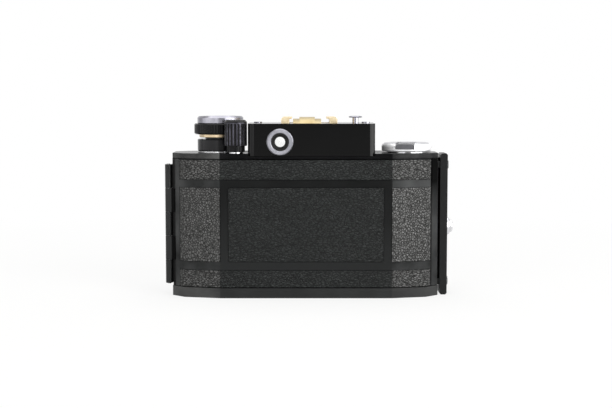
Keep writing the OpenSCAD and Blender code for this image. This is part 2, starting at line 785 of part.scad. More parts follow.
module hinge_leaf_door() {
    facet = inset(plan, metal_inset);
    top_corner = facet[10];
    low_corner = facet[11];
    run = (low_corner - top_corner) / norm(low_corner - top_corner);
    out = -left_of(low_corner - top_corner);
    a = top_corner + run * (seam_gap / 2 + 0.1) / abs(run[1]);
    b = a + run * 1.4;
    t = 0.35;
    wing = hinge_y - hinge_r;
    color([0.1, 0.1, 0.1]) difference() {
        union() for (i = [1, 3]) {
            knuckle(i);
            translate([0, 0, knuckle_z(i)]) linear_extrude(knuckle_l) polygon([
                [hinge_x, wing], a + out * t, b + out * t, b, a,
                [a[0] - 0.4, wing + 0.5], [hinge_x, wing + 0.7]
            ]);
        }
        post(hinge_x, hinge_y, hinge_pin_r + run_gap, 0, deck_z);
    }
}

module hinge_pin() {
    color([0.6, 0.6, 0.6])
        post(hinge_x, hinge_y, hinge_pin_r, hinge_z0 - 0.3, hinge_z0 + hinge_l + 0.3);
}

module latch_rail() {
    y0 = rail_y;
    y1 = rail_y + rail_d;
    b = 0.7;
    color([0.1, 0.1, 0.1]) difference() {
        union() {
            translate([0, y1, 0]) rotate([90, 0, 0]) linear_extrude(rail_d) polygon([
                [rail_x + b, 0], [rail_x + rail_t - b, 0], [rail_x + rail_t, b],
                [rail_x + rail_t, rail_h - b], [rail_x + rail_t - b, rail_h],
                [rail_x + b, rail_h], [rail_x, rail_h - b], [rail_x, b]
            ]);
            // Feet and web that stand on the end of the casting
            for (z = rail_screw_z)
                block([right_x, catch_y - 3.5, z - 1.4], [rail_x + cut, catch_y + 3.5, z + 1.4]);
            block([right_x, y1 - 3, base_h + 0.3], [rail_x + cut, y1, deck_z - 0.3]);
            // Bezel round the catch button
            along_x(rail_x + rail_t, catch_y, catch_z) rotate_extrude() polygon([
                [button_r + run_gap, -cut], [bezel_r, -cut], [bezel_r, 0.4],
                [bezel_r - 0.4, 1.2], [button_r + run_gap, 1.6]
            ]);
        }
        along_x(rail_x - cut, catch_y, catch_z) cylinder(r = catch_stem_r + run_gap, h = 5);
        along_x(rail_x + rail_t - catch_travel - 0.2, catch_y, catch_z)
            cylinder(r = button_r + run_gap, h = 5);
        for (z = rail_screw_z) along_x(rail_x - 2, catch_y, z) cylinder(r = 1 + fit, h = 8);
    }
}

module rail_screws() {
    color([0.8, 0.8, 0.8]) for (z = rail_screw_z)
        along_x(rail_x + rail_t, catch_y, z) rotate([0, 0, 50]) screw(2, 0.7, 1, rail_t + 5.5);
}

module catch_button() {
    x0 = rail_x + rail_t;
    color([0.88, 0.88, 0.9]) translate([x0, catch_y, catch_z]) rotate([0, 90, 0]) rotate_extrude()
        polygon([
            [0, -rail_t + 1.5], [catch_stem_r - 0.3, -rail_t + 1.5], [catch_stem_r, -rail_t + 1.8],
            [catch_stem_r, 0.1], [button_r, 0.1], [button_r, 2.1], [button_r - 0.35, 2.55],
            [button_r - 1, 2.85], [button_r - 1.8, 2.98], [0, 3]
        ]);
}

// Tongue on the door that lies under the rail, with the hole for the catch
module catch_keeper() {
    color([0.62, 0.62, 0.62]) difference() {
        block([keeper_x, seam_y, catch_z - keeper_h / 2],
              [right_x, catch_y + 2.2, catch_z + keeper_h / 2]);
        along_x(keeper_x - cut, catch_y, catch_z) cylinder(r = 1.7, h = 4);
    }
}

module shutter_crate() {
    x0 = lens_x - crate_w / 2;
    x1 = lens_x + crate_w / 2;
    z0 = lens_z - crate_h / 2;
    z1 = lens_z + crate_h / 2;
    y1 = crate_y + 8.6;
    color([0.3, 0.3, 0.3]) difference() {
        block([x0, crate_y, z0], [x1, y1, z1]);
        block([x0 + 0.8, crate_y - cut, z0 + 1.2], [x1 - 0.8, y1 - 0.8, z1 - 1.2]);
        block([lens_x - 15.6, y1 - 2, lens_z - 12.4], [lens_x + 15.6, y1 + cut, lens_z + 12.4]);
        for (s = [-1, 1])
            post(lens_x + s * roller_off, roller_y, 0.7 + run_gap, z0 - cut, z1 + cut);
    }
}

module roller(s) {
    z0 = lens_z - crate_h / 2;
    z1 = lens_z + crate_h / 2;
    color([0.7, 0.7, 0.68]) {
        post(lens_x + s * roller_off, roller_y, roller_r, z0 + 1.5, z1 - 1.5);
        post(lens_x + s * roller_off, roller_y, 0.7, z0 + 0.2, z1 - 0.2);
    }
}

module roller_left() {
    roller(-1);
}

module roller_right() {
    roller(1);
}

// Cloth blind that hangs between the two rollers, drawn at rest
module shutter_blind() {
    y1 = roller_y - roller_r - 0.1;
    color([0.1, 0.1, 0.11]) block([lens_x - roller_off - 1.5, y1 - blind_t, lens_z - crate_h / 2 + 2],
                                  [lens_x + roller_off + 1.5, y1, lens_z + crate_h / 2 - 2]);
}

module front_plate() {
    y0 = front_y - metal_inset;
    color([0.06, 0.06, 0.06]) difference() {
        block([-front_gap_left + 0.4, y0, front_z0 - 0.6],
              [front_gap_right - 0.4, plate_y, front_z1 + 0.6]);
        on_lens_axis(y0 - cut) cylinder(r = tube_r - 1 + fit, h = 5);
    }
}

module lens_flange() {
    color([0.82, 0.82, 0.83]) difference() {
        on_lens_axis(front_y - 4) rotate_extrude() polygon([
            [barrel_r + run_gap, 0], [tube_r - 1, 0], [tube_r - 1, plate_y - front_y + 4],
            [flange_r, plate_y - front_y + 4], [flange_r, flange_y - front_y + 3.7],
            [flange_r - 0.3, flange_y - front_y + 4], [tube_r, flange_y - front_y + 4],
            [tube_r, tube_y - front_y + 4], [barrel_r + run_gap, tube_y - front_y + 4]
        ]);
        on_lens_axis(plate_y - cut) for (a = [45:90:315]) rotate(a)
            translate([flange_screw_r, 0, 0]) {
                cylinder(r = 0.6 + fit, h = 4);
                translate([0, 0, cut + 1.2]) cylinder(r = 1.2 + fit, h = 4);
            }
    }
}

module flange_screws() {
    color([0.75, 0.75, 0.75]) on_lens_axis(plate_y + 1.2) for (a = [45:90:315]) rotate(a)
        translate([flange_screw_r, 0, 0]) screw(1.2, 0.5, 0.6, 1.1, 0.3);
}

module front_leather() {
    color([0.2, 0.2, 0.2]) mirror([0, 1, 0]) {
        leather_piece(wrap_left, -front_gap_left, front_z0, front_z1);
        leather_piece(front_gap_right, wrap_right, front_z0, front_z1);
    }
}

module back_shell() {
    color([0.11, 0.11, 0.11]) difference() {
        plan_block(metal_inset, back_y - cut, seam_y, door_z0, door_z1);
        plan_block(door_wall, back_y - cut, seam_y + cut,
                   door_z0 + door_flange, door_z1 - door_flange);
        leather_pocket(-panel_half, panel_half, panel_z0, panel_z1);
        leather_pocket(wrap_left, wrap_right, strip_z0, strip_z1);
        leather_pocket(wrap_left, wrap_right, upper_z0, upper_z1);
        leather_pocket(flat_half, wrap_right, panel_z0, panel_z1);
        leather_pocket(wrap_left, -flat_half, panel_z0, panel_z1);
    }
}

module leather_centre() {
    color([0.2, 0.2, 0.2]) leather_piece(-panel_half, panel_half, panel_z0, panel_z1);
}

module leather_strips() {
    color([0.2, 0.2, 0.2]) {
        leather_piece(wrap_left, wrap_right, strip_z0, strip_z1);
        leather_piece(wrap_left, wrap_right, upper_z0, upper_z1);
    }
}

module leather_sides() {
    color([0.24, 0.24, 0.24]) {
        leather_piece(flat_half, wrap_right, panel_z0, panel_z1);
        leather_piece(wrap_left, -flat_half, panel_z0, panel_z1);
    }
}

module pressure_plate() {
    y1 = film_y - plate_gap;
    color([0.25, 0.25, 0.25]) difference() {
        block([lens_x - frame_w / 2 - 4, y1 - plate_t, film_z - film_w / 2 + 0.3],
              [lens_x + frame_w / 2 + 4, y1, film_z + film_w / 2 - 0.3]);
        // Rounded lead-in along both ends
        for (s = [-1, 1]) translate([lens_x + s * 22, y1, film_z]) rotate([0, 0, 45])
            cube([0.6, 0.6, film_w + 2], center = true);
    }
}

// Two bowed leaves between the door and the pressure plate
module pressure_spring() {
    y0 = back_y + door_wall;
    rise = film_y - plate_gap - plate_t - y0;
    span = 22;
    r = (span * span / 4 + rise * rise) / (2 * rise);
    color([0.8, 0.74, 0.6]) for (z = [film_z - 9, film_z + 9])
        translate([lens_x, y0 + rise - r, z - 2.5]) linear_extrude(5) intersection() {
            difference() {
                circle(r = r);
                circle(r = r - 0.25);
            }
            translate([-span / 2 + 0.4, r - rise]) square([span - 0.8, rise + cut]);
        }
}

module wind_shaft() {
    color([0.7, 0.7, 0.7]) post(wind_x, wind_y, wind_shaft_r, base_h + 0.9, dial_z0 + 1);
}

module takeup_spool() {
    z0 = chamber_z + 0.5;
    z1 = chamber_top - 0.5;
    color([0.12, 0.12, 0.12]) difference() {
        union() {
            post(wind_x, wind_y, 4, z0, z1);
            post(wind_x, wind_y, 6, film_z - film_w / 2, film_z + film_w / 2);
            for (s = [-1, 1])
                post(wind_x, wind_y, spool_flange_r, film_z + s * (film_w / 2 + 0.7) - 0.5,
                     film_z + s * (film_w / 2 + 0.7) + 0.5);
        }
        post(wind_x, wind_y, wind_shaft_r + 0.01, z0 - cut, z1 + cut);
        // Slot for the film's tongue
        block([wind_x - 0.5, wind_y + 3, film_z - 13], [wind_x + 0.5, wind_y + 7, film_z + 13]);
    }
}

module wind_brass_disc() {
    color([0.83, 0.66, 0.42]) translate([wind_x, wind_y, brass_z0]) rotate_extrude() polygon([
        [wind_shaft_r + 0.01, 0], [brass_r - 0.2, 0], [brass_r, 0.2], [brass_r, brass_t],
        [wind_shaft_r + 0.01, brass_t]
    ]);
}

module wind_knob() {
    flutes = 60;
    color([0.06, 0.06, 0.06]) difference() {
        translate([wind_x, wind_y, knob_z0]) rotate_extrude() polygon([
            [wind_shaft_r + 0.01, 0], [knob_r - 0.5, 0], [knob_r, 0.5],
            [knob_r, knob_h - 0.4], [knob_r - 0.4, knob_h], [wind_shaft_r + 0.01, knob_h]
        ]);
        for (i = [0:flutes - 1]) translate([wind_x, wind_y, knob_z0 + 0.6]) rotate(i * 360 / flutes)
            translate([knob_r + 0.12, 0, 0]) cylinder(r = 0.35, h = knob_h - 1.2, $fn = 24);
    }
}

module wind_dial() {
    color([0.85, 0.85, 0.86]) difference() {
        translate([wind_x, wind_y, dial_z0]) rotate_extrude() polygon([
            [0, 0], [dial_r - 0.3, 0], [dial_r, 0.3], [dial_r, dial_h - 0.7],
            [dial_r - 0.7, dial_h], [dial_r - 2.6, dial_h], [dial_r - 3, dial_h - 0.35], [0, dial_h - 0.35]
        ]);
        post(wind_x, wind_y, wind_shaft_r + 0.01, dial_z0 - cut, dial_z0 + 1.01);
    }
}

// Eight teeth in two rows that take the film's perforations
module sprocket_drum() {
    teeth = 8;
    row = 14.1;
    color([0.72, 0.72, 0.7]) {
        post(sprocket_x, sprocket_y, sprocket_shaft_r, rim_z0 + 0.15, chamber_top + 2.2);
        difference() {
            post(sprocket_x, sprocket_y, sprocket_r, film_z - film_w / 2, film_z + film_w / 2);
            difference() {
                post(sprocket_x, sprocket_y, sprocket_r + cut, film_z - row + 2, film_z + row - 2);
                post(sprocket_x, sprocket_y, sprocket_r - 1, film_z - row, film_z + row);
            }
        }
        for (s = [-1, 1]) for (i = [0:teeth - 1])
            translate([sprocket_x, sprocket_y, film_z + s * row]) rotate((i + 0.5) * 360 / teeth)
                translate([sprocket_r - 0.3, 0, 0]) rotate([0, 90, 0])
                    cylinder(r1 = 0.95, r2 = 0.45, h = 1.2, $fn = 24);
    }
}

module speed_drum() {
    z0 = top_z + speed_lift;
    z1 = z0 + speed_h;
    color([0.07, 0.07, 0.07]) difference() {
        union() {
            translate([speed_x, speed_y, z0]) rotate_extrude() polygon([
                [0, 0], [speed_r - 0.3, 0], [speed_r, 0.3], [speed_r, speed_h - 0.9],
                [speed_r - 0.9, speed_h], [0, speed_h]
            ]);
            post(speed_x, speed_y, speed_neck_r, top_z + speed_ring_t + 0.1, z0 + cut);
            post(speed_x, speed_y, speed_pin_r, deck_z + 0.2, z0);
        }
        for (i = [0:speed_ribs - 1])
            translate([speed_x, speed_y, z0 - cut]) rotate(i * 360 / speed_ribs)
                translate([speed_r + 0.05, 0, 0]) cylinder(r = 0.5, h = speed_h - 0.7, $fn = 24);
        for (i = [0:speed_ribs - 1])
            translate([speed_x, speed_y, top_z]) rotate((i + 0.5) * 360 / speed_ribs)
                translate([speed_neck_r + 0.05, 0, 0])
                    cylinder(r = 0.3, h = speed_lift - 0.3, $fn = 24);
    }
}

module rewind_shaft() {
    z0 = chamber_top - 4.5;
    color([0.72, 0.72, 0.72]) difference() {
        union() {
            post(rewind_x, rewind_y, rewind_shaft_r, chamber_top - 1, rewind_z0 + 0.5);
            post(rewind_x, rewind_y, 3.4, z0, chamber_top - 0.4);
        }
        // Fork that takes the bar of the cassette's spool
        block([rewind_x - 5, rewind_y - 0.9, z0 - cut], [rewind_x + 5, rewind_y + 0.9, z0 + 3]);
    }
}

// Turns what is drawn square to the camera about the rewind axis, to where the key rests
module on_rewind() {
    translate([rewind_x, rewind_y, 0]) rotate(key_turn) translate([-rewind_x, -rewind_y, 0])
        children();
}

module rewind_disc() {
    slot = key_w + 0.3;
    color([0.88, 0.88, 0.9]) on_rewind() difference() {
        translate([rewind_x, rewind_y, rewind_z0]) rotate_extrude() polygon([
            [0, 0], [rewind_r - 0.4, 0], [rewind_r, 0.5], [rewind_r, rewind_h - 1.7],
            [rewind_r - 0.2, rewind_h - 1.1], [rewind_r - 0.7, rewind_h - 0.5],
            [rewind_r - 1.4, rewind_h - 0.1], [rewind_r - 2, rewind_h], [0, rewind_h]
        ]);
        post(rewind_x, rewind_y, rewind_shaft_r + 0.01, rewind_z0 - cut, rewind_z0 + 0.5);
        // Slot that the key folds into, open at the back
        block([rewind_x - slot / 2, rewind_y - rewind_r - cut, key_z0 - 0.05],
              [rewind_x + slot / 2, key_pivot_y + 1.8, rewind_top + cut]);
        along_x(rewind_x - slot / 2 - 1.6, key_pivot_y, key_pivot_z)
            cylinder(r = 0.6 + run_gap, h = slot + 3.2);
    }
}

// Key that folds up out of the disc on a cross pin
module rewind_key() {
    back = rewind_y - rewind_r + 0.5;
    color([0.35, 0.35, 0.36]) on_rewind() {
        difference() {
            union() {
                along_x(rewind_x - key_w / 2, key_pivot_y, key_pivot_z)
                    cylinder(r = key_t / 2, h = key_w);
                translate([rewind_x, back, key_z0]) rotate([-90, 0, 0]) linear_extrude(key_pivot_y - back)
                    polygon([
                        [-key_w / 2, 0], [-key_w / 2, -key_t + 0.9], [-key_w / 2 + 0.9, -key_t],
                        [key_w / 2 - 0.9, -key_t], [key_w / 2, -key_t + 0.9], [key_w / 2, 0]
                    ]);
            }
            // Finger hollow in the upper face
            translate([rewind_x, rewind_y - 3, key_z0 + key_t + 3.4]) sphere(r = 4.2);
        }
        along_x(rewind_x - key_w / 2 - 1.4, key_pivot_y, key_pivot_z)
            cylinder(r = 0.6, h = key_w + 2.8);
    }
}

module release_button() {
    color([0.84, 0.84, 0.86]) translate([release_x, 0, house_top]) rotate_extrude() polygon([
        [0, -house_h - 6], [stem_r, -house_h - 6], [stem_r, cap_up], [cap_r - 0.4, cap_up],
        [cap_r, cap_up + 0.25], [cap_r - 0.3, cap_up + 0.6], [cap_r - 1.2, cap_up + 0.75],
        [0, cap_up + 0.8]
    ]);
}

module focus_ring() {
    flutes = 72;
    y0 = flange_y + 0.3;
    color([0.8, 0.8, 0.8]) difference() {
        on_lens_axis(y0) rotate_extrude() polygon([
            [tube_r + run_gap, 0], [focus_r - 0.4, 0], [focus_r, 0.4],
            [focus_r, ring_y - y0 - 1.6], [focus_r - 1.6, ring_y - y0],
            [barrel_r + 0.8, ring_y - y0], [barrel_r + 0.8, tube_y - y0 + 0.2],
            [tube_r + run_gap, tube_y - y0 + 0.2]
        ]);
        on_lens_axis(y0 + 0.9) for (i = [0:flutes - 1]) rotate(i * 360 / flutes)
            translate([focus_r + 0.1, 0, 0]) cylinder(r = 0.4, h = ring_y - y0 - 3, $fn = 24);
    }
}

module lens_barrel() {
    back = front_y - 3;
    color([0.83, 0.83, 0.84]) {
        on_lens_axis(back) rotate_extrude() polygon([
            [rear_r, 0], [barrel_r - 0.3, 0], [barrel_r, 0.3], [barrel_r, barrel_y - back],
            [aperture_r, barrel_y - back], [aperture_r, stop_y - back],
            [barrel_r - 1, stop_y - back], [barrel_r - 1, bezel_y - back],
            [front_r, bezel_y - back], [front_r, iris_y + iris_l + 1 - back],
            [front_r - 1, iris_y + iris_l + 1 - back], [front_r - 1, iris_y + iris_l - back],
            [iris_room_r, iris_y + iris_l - back], [iris_room_r, iris_y - back],
            [rear_r - 1, iris_y - back], [rear_r - 1, iris_y - 1 - back], [rear_r, iris_y - 1 - back]
        ]);
        // Posts that the iris blades turn on
        on_lens_axis(iris_y) for (i = [0:blades - 1]) rotate(i * 360 / blades)
            translate([blade_pivot_r, 0, 0]) cylinder(r = 0.35, h = iris_l, $fn = 24);
    }
}

// Lens with two spherical faces, drawn about the Z axis from z = 0 to z = t
module lens_body(r, t, bulge_back, bulge_front) {
    function ball(b) = (r * r + b * b) / (2 * b);
    intersection() {
        cylinder(r = r, h = t);
        translate([0, 0, ball(bulge_back)]) sphere(r = ball(bulge_back), $fn = 240);
        translate([0, 0, t - ball(bulge_front)]) sphere(r = ball(bulge_front), $fn = 240);
    }
}

module front_element() {
    color([0.75, 0.82, 0.9, 0.4])
        on_lens_axis(bezel_y - 4.4) lens_body(front_r, 4.4, 0.5, 1.7);
}

module middle_element() {
    y0 = iris_y + iris_l + 1;
    t = 2.2;
    r_hollow = 24;
    color([0.75, 0.82, 0.9, 0.4]) on_lens_axis(y0) difference() {
        cylinder(r = front_r, h = t);
        translate([0, 0, t - 0.9 + r_hollow]) sphere(r = r_hollow);
    }
}

module rear_element() {
    color([0.75, 0.82, 0.9, 0.4])
        on_lens_axis(iris_y - 1 - 4.6) lens_body(rear_r, 4.6, 1.3, 0.4);
}

module front_bezel() {
    color([0.9, 0.9, 0.9]) on_lens_axis(bezel_y) rotate_extrude() polygon([
        [front_r - 0.9, 0], [aperture_r - 1, 0], [aperture_r - 1, 1.9], [aperture_r - 1.6, 2.6],
        [aperture_r - 2.6, 2.6], [front_r - 0.9, 0.5]
    ]);
}

module aperture_ring() {
    flutes = 40;
    y0 = stop_y + 0.15;
    y1 = bezel_y - 0.15;
    color([0.8, 0.8, 0.8]) difference() {
        lens_tube(aperture_r, barrel_r - 1 + run_gap, y0, y1);
        on_lens_axis(y1 - 1.8) for (i = [0:flutes - 1]) rotate(i * 360 / flutes)
            translate([aperture_r + 0.1, 0, 0]) cylinder(r = 0.4, h = 4, $fn = 24);
    }
}

// One crescent on its own post; each blade lies in a layer of its own
module iris_blade(i) {
    sweep = 104;
    color([0.3, 0.3, 0.31]) on_lens_axis(iris_y + 0.35 + i * layer_pitch) rotate(i * 360 / blades)
        difference() {
            union() {
                linear_extrude(blade_t) intersection() {
                    difference() {
                        circle(r = blade_out_r);
                        circle(r = blade_in_r);
                    }
                    polygon([
                        [0, 0], [20, -2], [20, 20], [0, 30],
                        20 * [cos(sweep), sin(sweep)]
                    ]);
                }
                translate([blade_pivot_r, 0, 0]) cylinder(r = 0.75, h = blade_t, $fn = 24);
                translate([blade_out_r - 1, -0.7, 0]) cube([1.2, 1.4, blade_t]);
            }
            translate([blade_pivot_r, 0, -cut])
                cylinder(r = 0.35 + run_gap, h = blade_t + 2 * cut, $fn = 24);
        }
}

module iris_blade_1() {
    iris_blade(0);
}

module iris_blade_2() {
    iris_blade(1);
}

module iris_blade_3() {
    iris_blade(2);
}

module iris_blade_4() {
    iris_blade(3);
}

module iris_blade_5() {
    iris_blade(4);
}

main_casting();
base_pan();
base_screws();
tripod_bush();
top_plate();
deck_rings();
finder_housing();
housing_screws();
finder_block();
eyepiece_ring();
eyepiece_cup();
finder_glass();
accessory_shoe();
shoe_spring();
wind_collar();
hinge_leaf_body();
hinge_pin();
latch_rail();
rail_screws();
gate_frame();
shutter_crate();
shutter_blind();
front_plate();
lens_flange();
flange_screws();
front_leather();
back_shell();
leather_centre();
leather_strips();
leather_sides();
hinge_leaf_door();
catch_keeper();
pressure_plate();
pressure_spring();
wind_shaft();
takeup_spool();
wind_brass_disc();
wind_knob();
wind_dial();
sprocket_drum();
speed_drum();
rewind_shaft();
rewind_disc();
rewind_key();
release_button();
catch_button();
roller_left();
roller_right();
focus_ring();
lens_barrel();
front_element();
middle_element();
rear_element();
front_bezel();
aperture_ring();
iris_blade_1();
iris_blade_2();
iris_blade_3();
iris_blade_4();
iris_blade_5();
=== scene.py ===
# %% [markdown]
# # A miniature camera for 35 mm film, seen from behind
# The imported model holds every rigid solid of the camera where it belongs: castings, knobs, hinge,
# shutter, lens. This lesson dresses it. It gives each solid the finish that it has on the real
# camera, rounds the edges that a machine would have broken, adds the marks on the dials, and
# lights the whole like a product on a white table.

# %% Load the frame
import math

import bmesh
import bpy
from mathutils import Matrix, Vector


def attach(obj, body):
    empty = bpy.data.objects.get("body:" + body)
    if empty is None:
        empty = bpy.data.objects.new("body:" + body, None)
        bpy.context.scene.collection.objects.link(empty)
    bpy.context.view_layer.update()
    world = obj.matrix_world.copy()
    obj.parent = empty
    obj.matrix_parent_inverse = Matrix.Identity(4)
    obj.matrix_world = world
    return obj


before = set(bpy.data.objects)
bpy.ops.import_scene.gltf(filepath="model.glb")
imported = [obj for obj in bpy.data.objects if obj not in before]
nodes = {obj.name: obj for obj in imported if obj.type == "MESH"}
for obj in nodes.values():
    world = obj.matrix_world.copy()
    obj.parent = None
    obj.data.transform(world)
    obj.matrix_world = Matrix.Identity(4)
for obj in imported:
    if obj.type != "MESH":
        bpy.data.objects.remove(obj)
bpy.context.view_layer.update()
MM = 0.001

# %% [markdown]
# ## Colours and node graphs
# A colour picked from a photograph is written as an sRGB hex value, but the shaders work in
# linear light. One function turns the first into the second. One more adds a node with its
# settings and its links, so that a graph reads from top to bottom like a recipe. Its inputs
# are given in the node's own order, or by name or number where only some are set.

# %% Colour and node helpers
def to_linear(hex_colour):
    channels = [int(hex_colour[i:i + 2], 16) / 255 for i in (1, 3, 5)]
    return tuple(c / 12.92 if c <= 0.04045 else ((c + 0.055) / 1.055) ** 2.4
                 for c in channels) + (1.0,)


def add(tree, kind, inputs=(), out=0, **settings):
    """Adds a node and gives back one of its outputs, or all of them where out is None."""
    new = tree.nodes.new("ShaderNode" + kind)
    for name, value in settings.items():
        setattr(new, name, value)
    for socket, value in inputs.items() if isinstance(inputs, dict) else enumerate(inputs):
        if isinstance(value, bpy.types.NodeSocket):
            tree.links.new(value, new.inputs[socket])
        else:
            plain = to_linear(value) if isinstance(value, str) else value
            new.inputs[socket].default_value = plain
    return new.outputs if out is None else new.outputs[out]


print("enamel black in linear light:", [round(c, 4) for c in to_linear("#141414")])

# %% [markdown]
# ## Patterns with real sizes
# A pebble of the leather is about a millimetre across, a turning mark a third of that. Object
# coordinates are in metres, so they are first stretched by 1000, and the scale of every
# pattern below is then one over a size in millimetres. A Noise is the cloud that makes a
# surface uneven. A Map Range takes a value from one range to another, so it also makes a soft
# step at a coordinate, where a finish ends at a place on the camera. A Mix has its colours on
# inputs 6 and 7 and output 2, because its first ones are for numbers and vectors.

# %% Start a material and measure in it
SOFT = {"Detail": 3.0, "Roughness": 0.55}
SMOOTH = {"Detail": 2.0, "Roughness": 0.55}
RICH = {"Detail": 4.0, "Roughness": 0.55}
COLOURS = {"out": 2, "data_type": "RGBA"}


def start(name):
    """A new material, its tree, and the place of each spot on the piece in millimetres."""
    material = bpy.data.materials.new(name)
    material.use_nodes = True
    tree = material.node_tree
    tree.nodes.clear()
    place = add(tree, "TexCoord", out="Object")
    return material, tree, add(tree, "VectorMath", {0: place, 3: 1 / MM}, operation="SCALE")


print("a cloud of 2.2 mm has the scale", round(1 / 2.2, 3))

# %% [markdown]
# A finish is a colour, a roughness and a relief, and every material here ends in the same
# way. The relief is a Bump, which is right for marks far thinner than a pixel; whatever can be
# seen from the side is in the mesh instead.

# %% Finish a material
def finish(material, tree, height, depth_mm, relief=1.0, **surface):
    """Puts the surface's values on the shader's own sockets, and the height in its normal."""
    values = {key.replace("_", " "): value for key, value in surface.items()}
    values["Normal"] = add(tree, "Bump", {"Height": height, "Strength": relief,
                                          "Distance": depth_mm * MM})
    shader = add(tree, "BsdfPrincipled", values)
    add(tree, "OutputMaterial", {"Surface": shader}, None)
    return material


print("grey leather in linear light:", [round(c, 3) for c in to_linear("#303332")])

# %% [markdown]
# ## Painted light on the ends
# From above, the body is an oblong with its corners cut off. Its slanting ends face the side lamps,
# and their colour is painted paler than the flat middle as painted light, on the leather as on the
# enamel. The bend between them is a plain coordinate, so one function serves every finish of the
# body.

# %% The slanting ends
SHOULDER_MM, BEND_MM = 39.3, 0.15


def on_chamfers(tree, across, middle, left, right):
    """The colour of the middle, turned past the shoulders to the colours painted on the slanting
    ends as light.
    """
    for side, end in ((-1, left), (1, right)):
        beyond = add(tree, "MapRange", (across, side * (SHOULDER_MM - BEND_MM),
                                        side * (SHOULDER_MM + BEND_MM)))
        middle = add(tree, "Mix", {0: beyond, 6: middle, 7: end}, **COLOURS)
    return middle


print("the ends start", SHOULDER_MM, "mm from the middle")

# %% [markdown]
# ## Pebbled leather
# The back and the front are covered with thin leather, glued into shallow pockets and
# embossed with a pebble grain. The pebbles are cells with creases between them, so a
# distance-to-edge Voronoi is the closest pattern. Its coordinates are pushed about by a
# cloud first, or the cells would look like a honeycomb. The creases stay matt and are painted
# dark as shade, while the tops are painted paler as lit, more so where a cloud of rubbing falls.

# %% Leather
PEBBLE_MM, PUSH_MM, PUSH_SHARE = 0.95, 1.2, 0.5
UNEVEN_MM, PORE_MM, RUB_MM = 1.1, 0.3, 9.0


def pebbled_leather(name, middle, left, right, stretch, depth_mm, shine):
    """middle, left and right: each the colours of the creases, painted dark as shade, and of the
    tops, painted paler as lit.
    """
    material, tree, where = start(name)
    push = add(tree, "TexNoise", {"Vector": where, "Scale": 1 / PUSH_MM, "Detail": 2.0}, "Color")
    centred = add(tree, "VectorMath", (push, (0.5, 0.5, 0.5)), operation="SUBTRACT")
    moved = add(tree, "VectorMath", (centred, (PUSH_SHARE,) * 3, where),
                operation="MULTIPLY_ADD")
    cells = add(tree, "Mapping", {"Vector": moved, "Scale": stretch})
    crease = add(tree, "TexVoronoi", {"Vector": cells, "Scale": 1 / PEBBLE_MM}, "Distance",
                 feature="DISTANCE_TO_EDGE")
    pebble = add(tree, "MapRange", (crease, 0.03, 0.2))
    uneven = add(tree, "TexNoise", {"Vector": cells, "Scale": 1 / UNEVEN_MM, **SMOOTH})
    pores = add(tree, "TexNoise", {"Vector": where, "Scale": 1 / PORE_MM, **SMOOTH})
    rough = add(tree, "Math", (pores, 0.3, uneven), operation="MULTIPLY_ADD")
    height = add(tree, "Math", (pebble, 0.8, rough), operation="MULTIPLY_ADD")
    rub = add(tree, "TexNoise", {"Vector": where, "Scale": 1 / RUB_MM, **RICH})
    high = add(tree, "MapRange", (uneven, 0.35, 0.65, 0.5, 1))
    tops = add(tree, "Math", (pebble, high), operation="MULTIPLY")
    rubbed = add(tree, "MapRange", (rub, 0.35, 0.7, 0.75, 1))
    share = add(tree, "Math", (tops, rubbed), operation="MULTIPLY")
    across = add(tree, "SeparateXYZ", (where,), "X")
    colours = [add(tree, "Mix", {0: share, 6: dark, 7: pale}, **COLOURS)
               for dark, pale in (middle, left, right)]
    return finish(material, tree, height, depth_mm, Specular_IOR_Level=shine,
                  Base_Color=on_chamfers(tree, across, *colours),
                  Roughness=add(tree, "MapRange", (share, 0, 1, 0.6, 0.42)))


# The colour pairs of the ends are painted paler than those of the middle, as painted light.
leather = pebbled_leather(
    "embossed goat leather", ("#060707", "#303332"), ("#161615", "#666665"),
    ("#161615", "#787877"), stretch=(0.6, 1.0, 1.2), depth_mm=0.42, shine=0.2)
leather_ends = pebbled_leather(
    "embossed goat leather at the ends", ("#060707", "#303332"), ("#1c1c1b", "#6a6a69"),
    ("#1c1c1b", "#7d7d7c"), stretch=(1.0, 1.0, 0.8), depth_mm=0.5, shine=0.26)
print("leather:", leather.name, "and", leather_ends.name)

# %% [markdown]
# ## Painted shade at the ends of the back
# The satin of the back carries painted shade at its two ends. The strip beside the rail of the
# catch is painted black and dull toward the top, under the top plate; the seam beside the
# leather is painted black as a line of shadow, and so is the side behind the hinge. It could be
# a piece of its own, but on the real camera it is the same coat, so it is a mask in the same
# material.

# %% The strips at the ends
LEATHER_END_MM, SEAM_END_MM, HINGE_WALL_MM = 57.3, 58.1, -60.3
STRIP_PALE_MM, STRIP_BLACK_MM = 36, 53


def shade_ends(tree, across, up, colour, shine):
    """Paints shade: the strip beside the rail black and dull toward the top, and a black line of
    shadow at the seam there and at the hinge's side.
    """
    strip = add(tree, "MapRange", (across, LEATHER_END_MM - 0.1, LEATHER_END_MM + 0.1))
    upper = add(tree, "MapRange", (up, STRIP_PALE_MM, STRIP_BLACK_MM, 0, 0.95))
    shaded = add(tree, "Math", (strip, upper), operation="MULTIPLY")
    inner = add(tree, "MapRange", (across, SEAM_END_MM - 0.1, SEAM_END_MM + 0.1, 1, 0))
    seam = add(tree, "Math", (strip, inner), operation="MULTIPLY")
    hinge = add(tree, "MapRange", (across, HINGE_WALL_MM - 0.2, HINGE_WALL_MM + 0.2, 1, 0))
    # Painted shade and painted lines of shadow over the satin.
    for share, shade in ((shaded, "#080808"), (seam, "#030303"), (hinge, "#030303")):
        colour = add(tree, "Mix", {0: share, 6: colour, 7: shade}, **COLOURS)
    return colour, add(tree, "MapRange", (shaded, 0, 1, shine, 0))


print("the strip beside the rail starts at", LEATHER_END_MM, "mm")

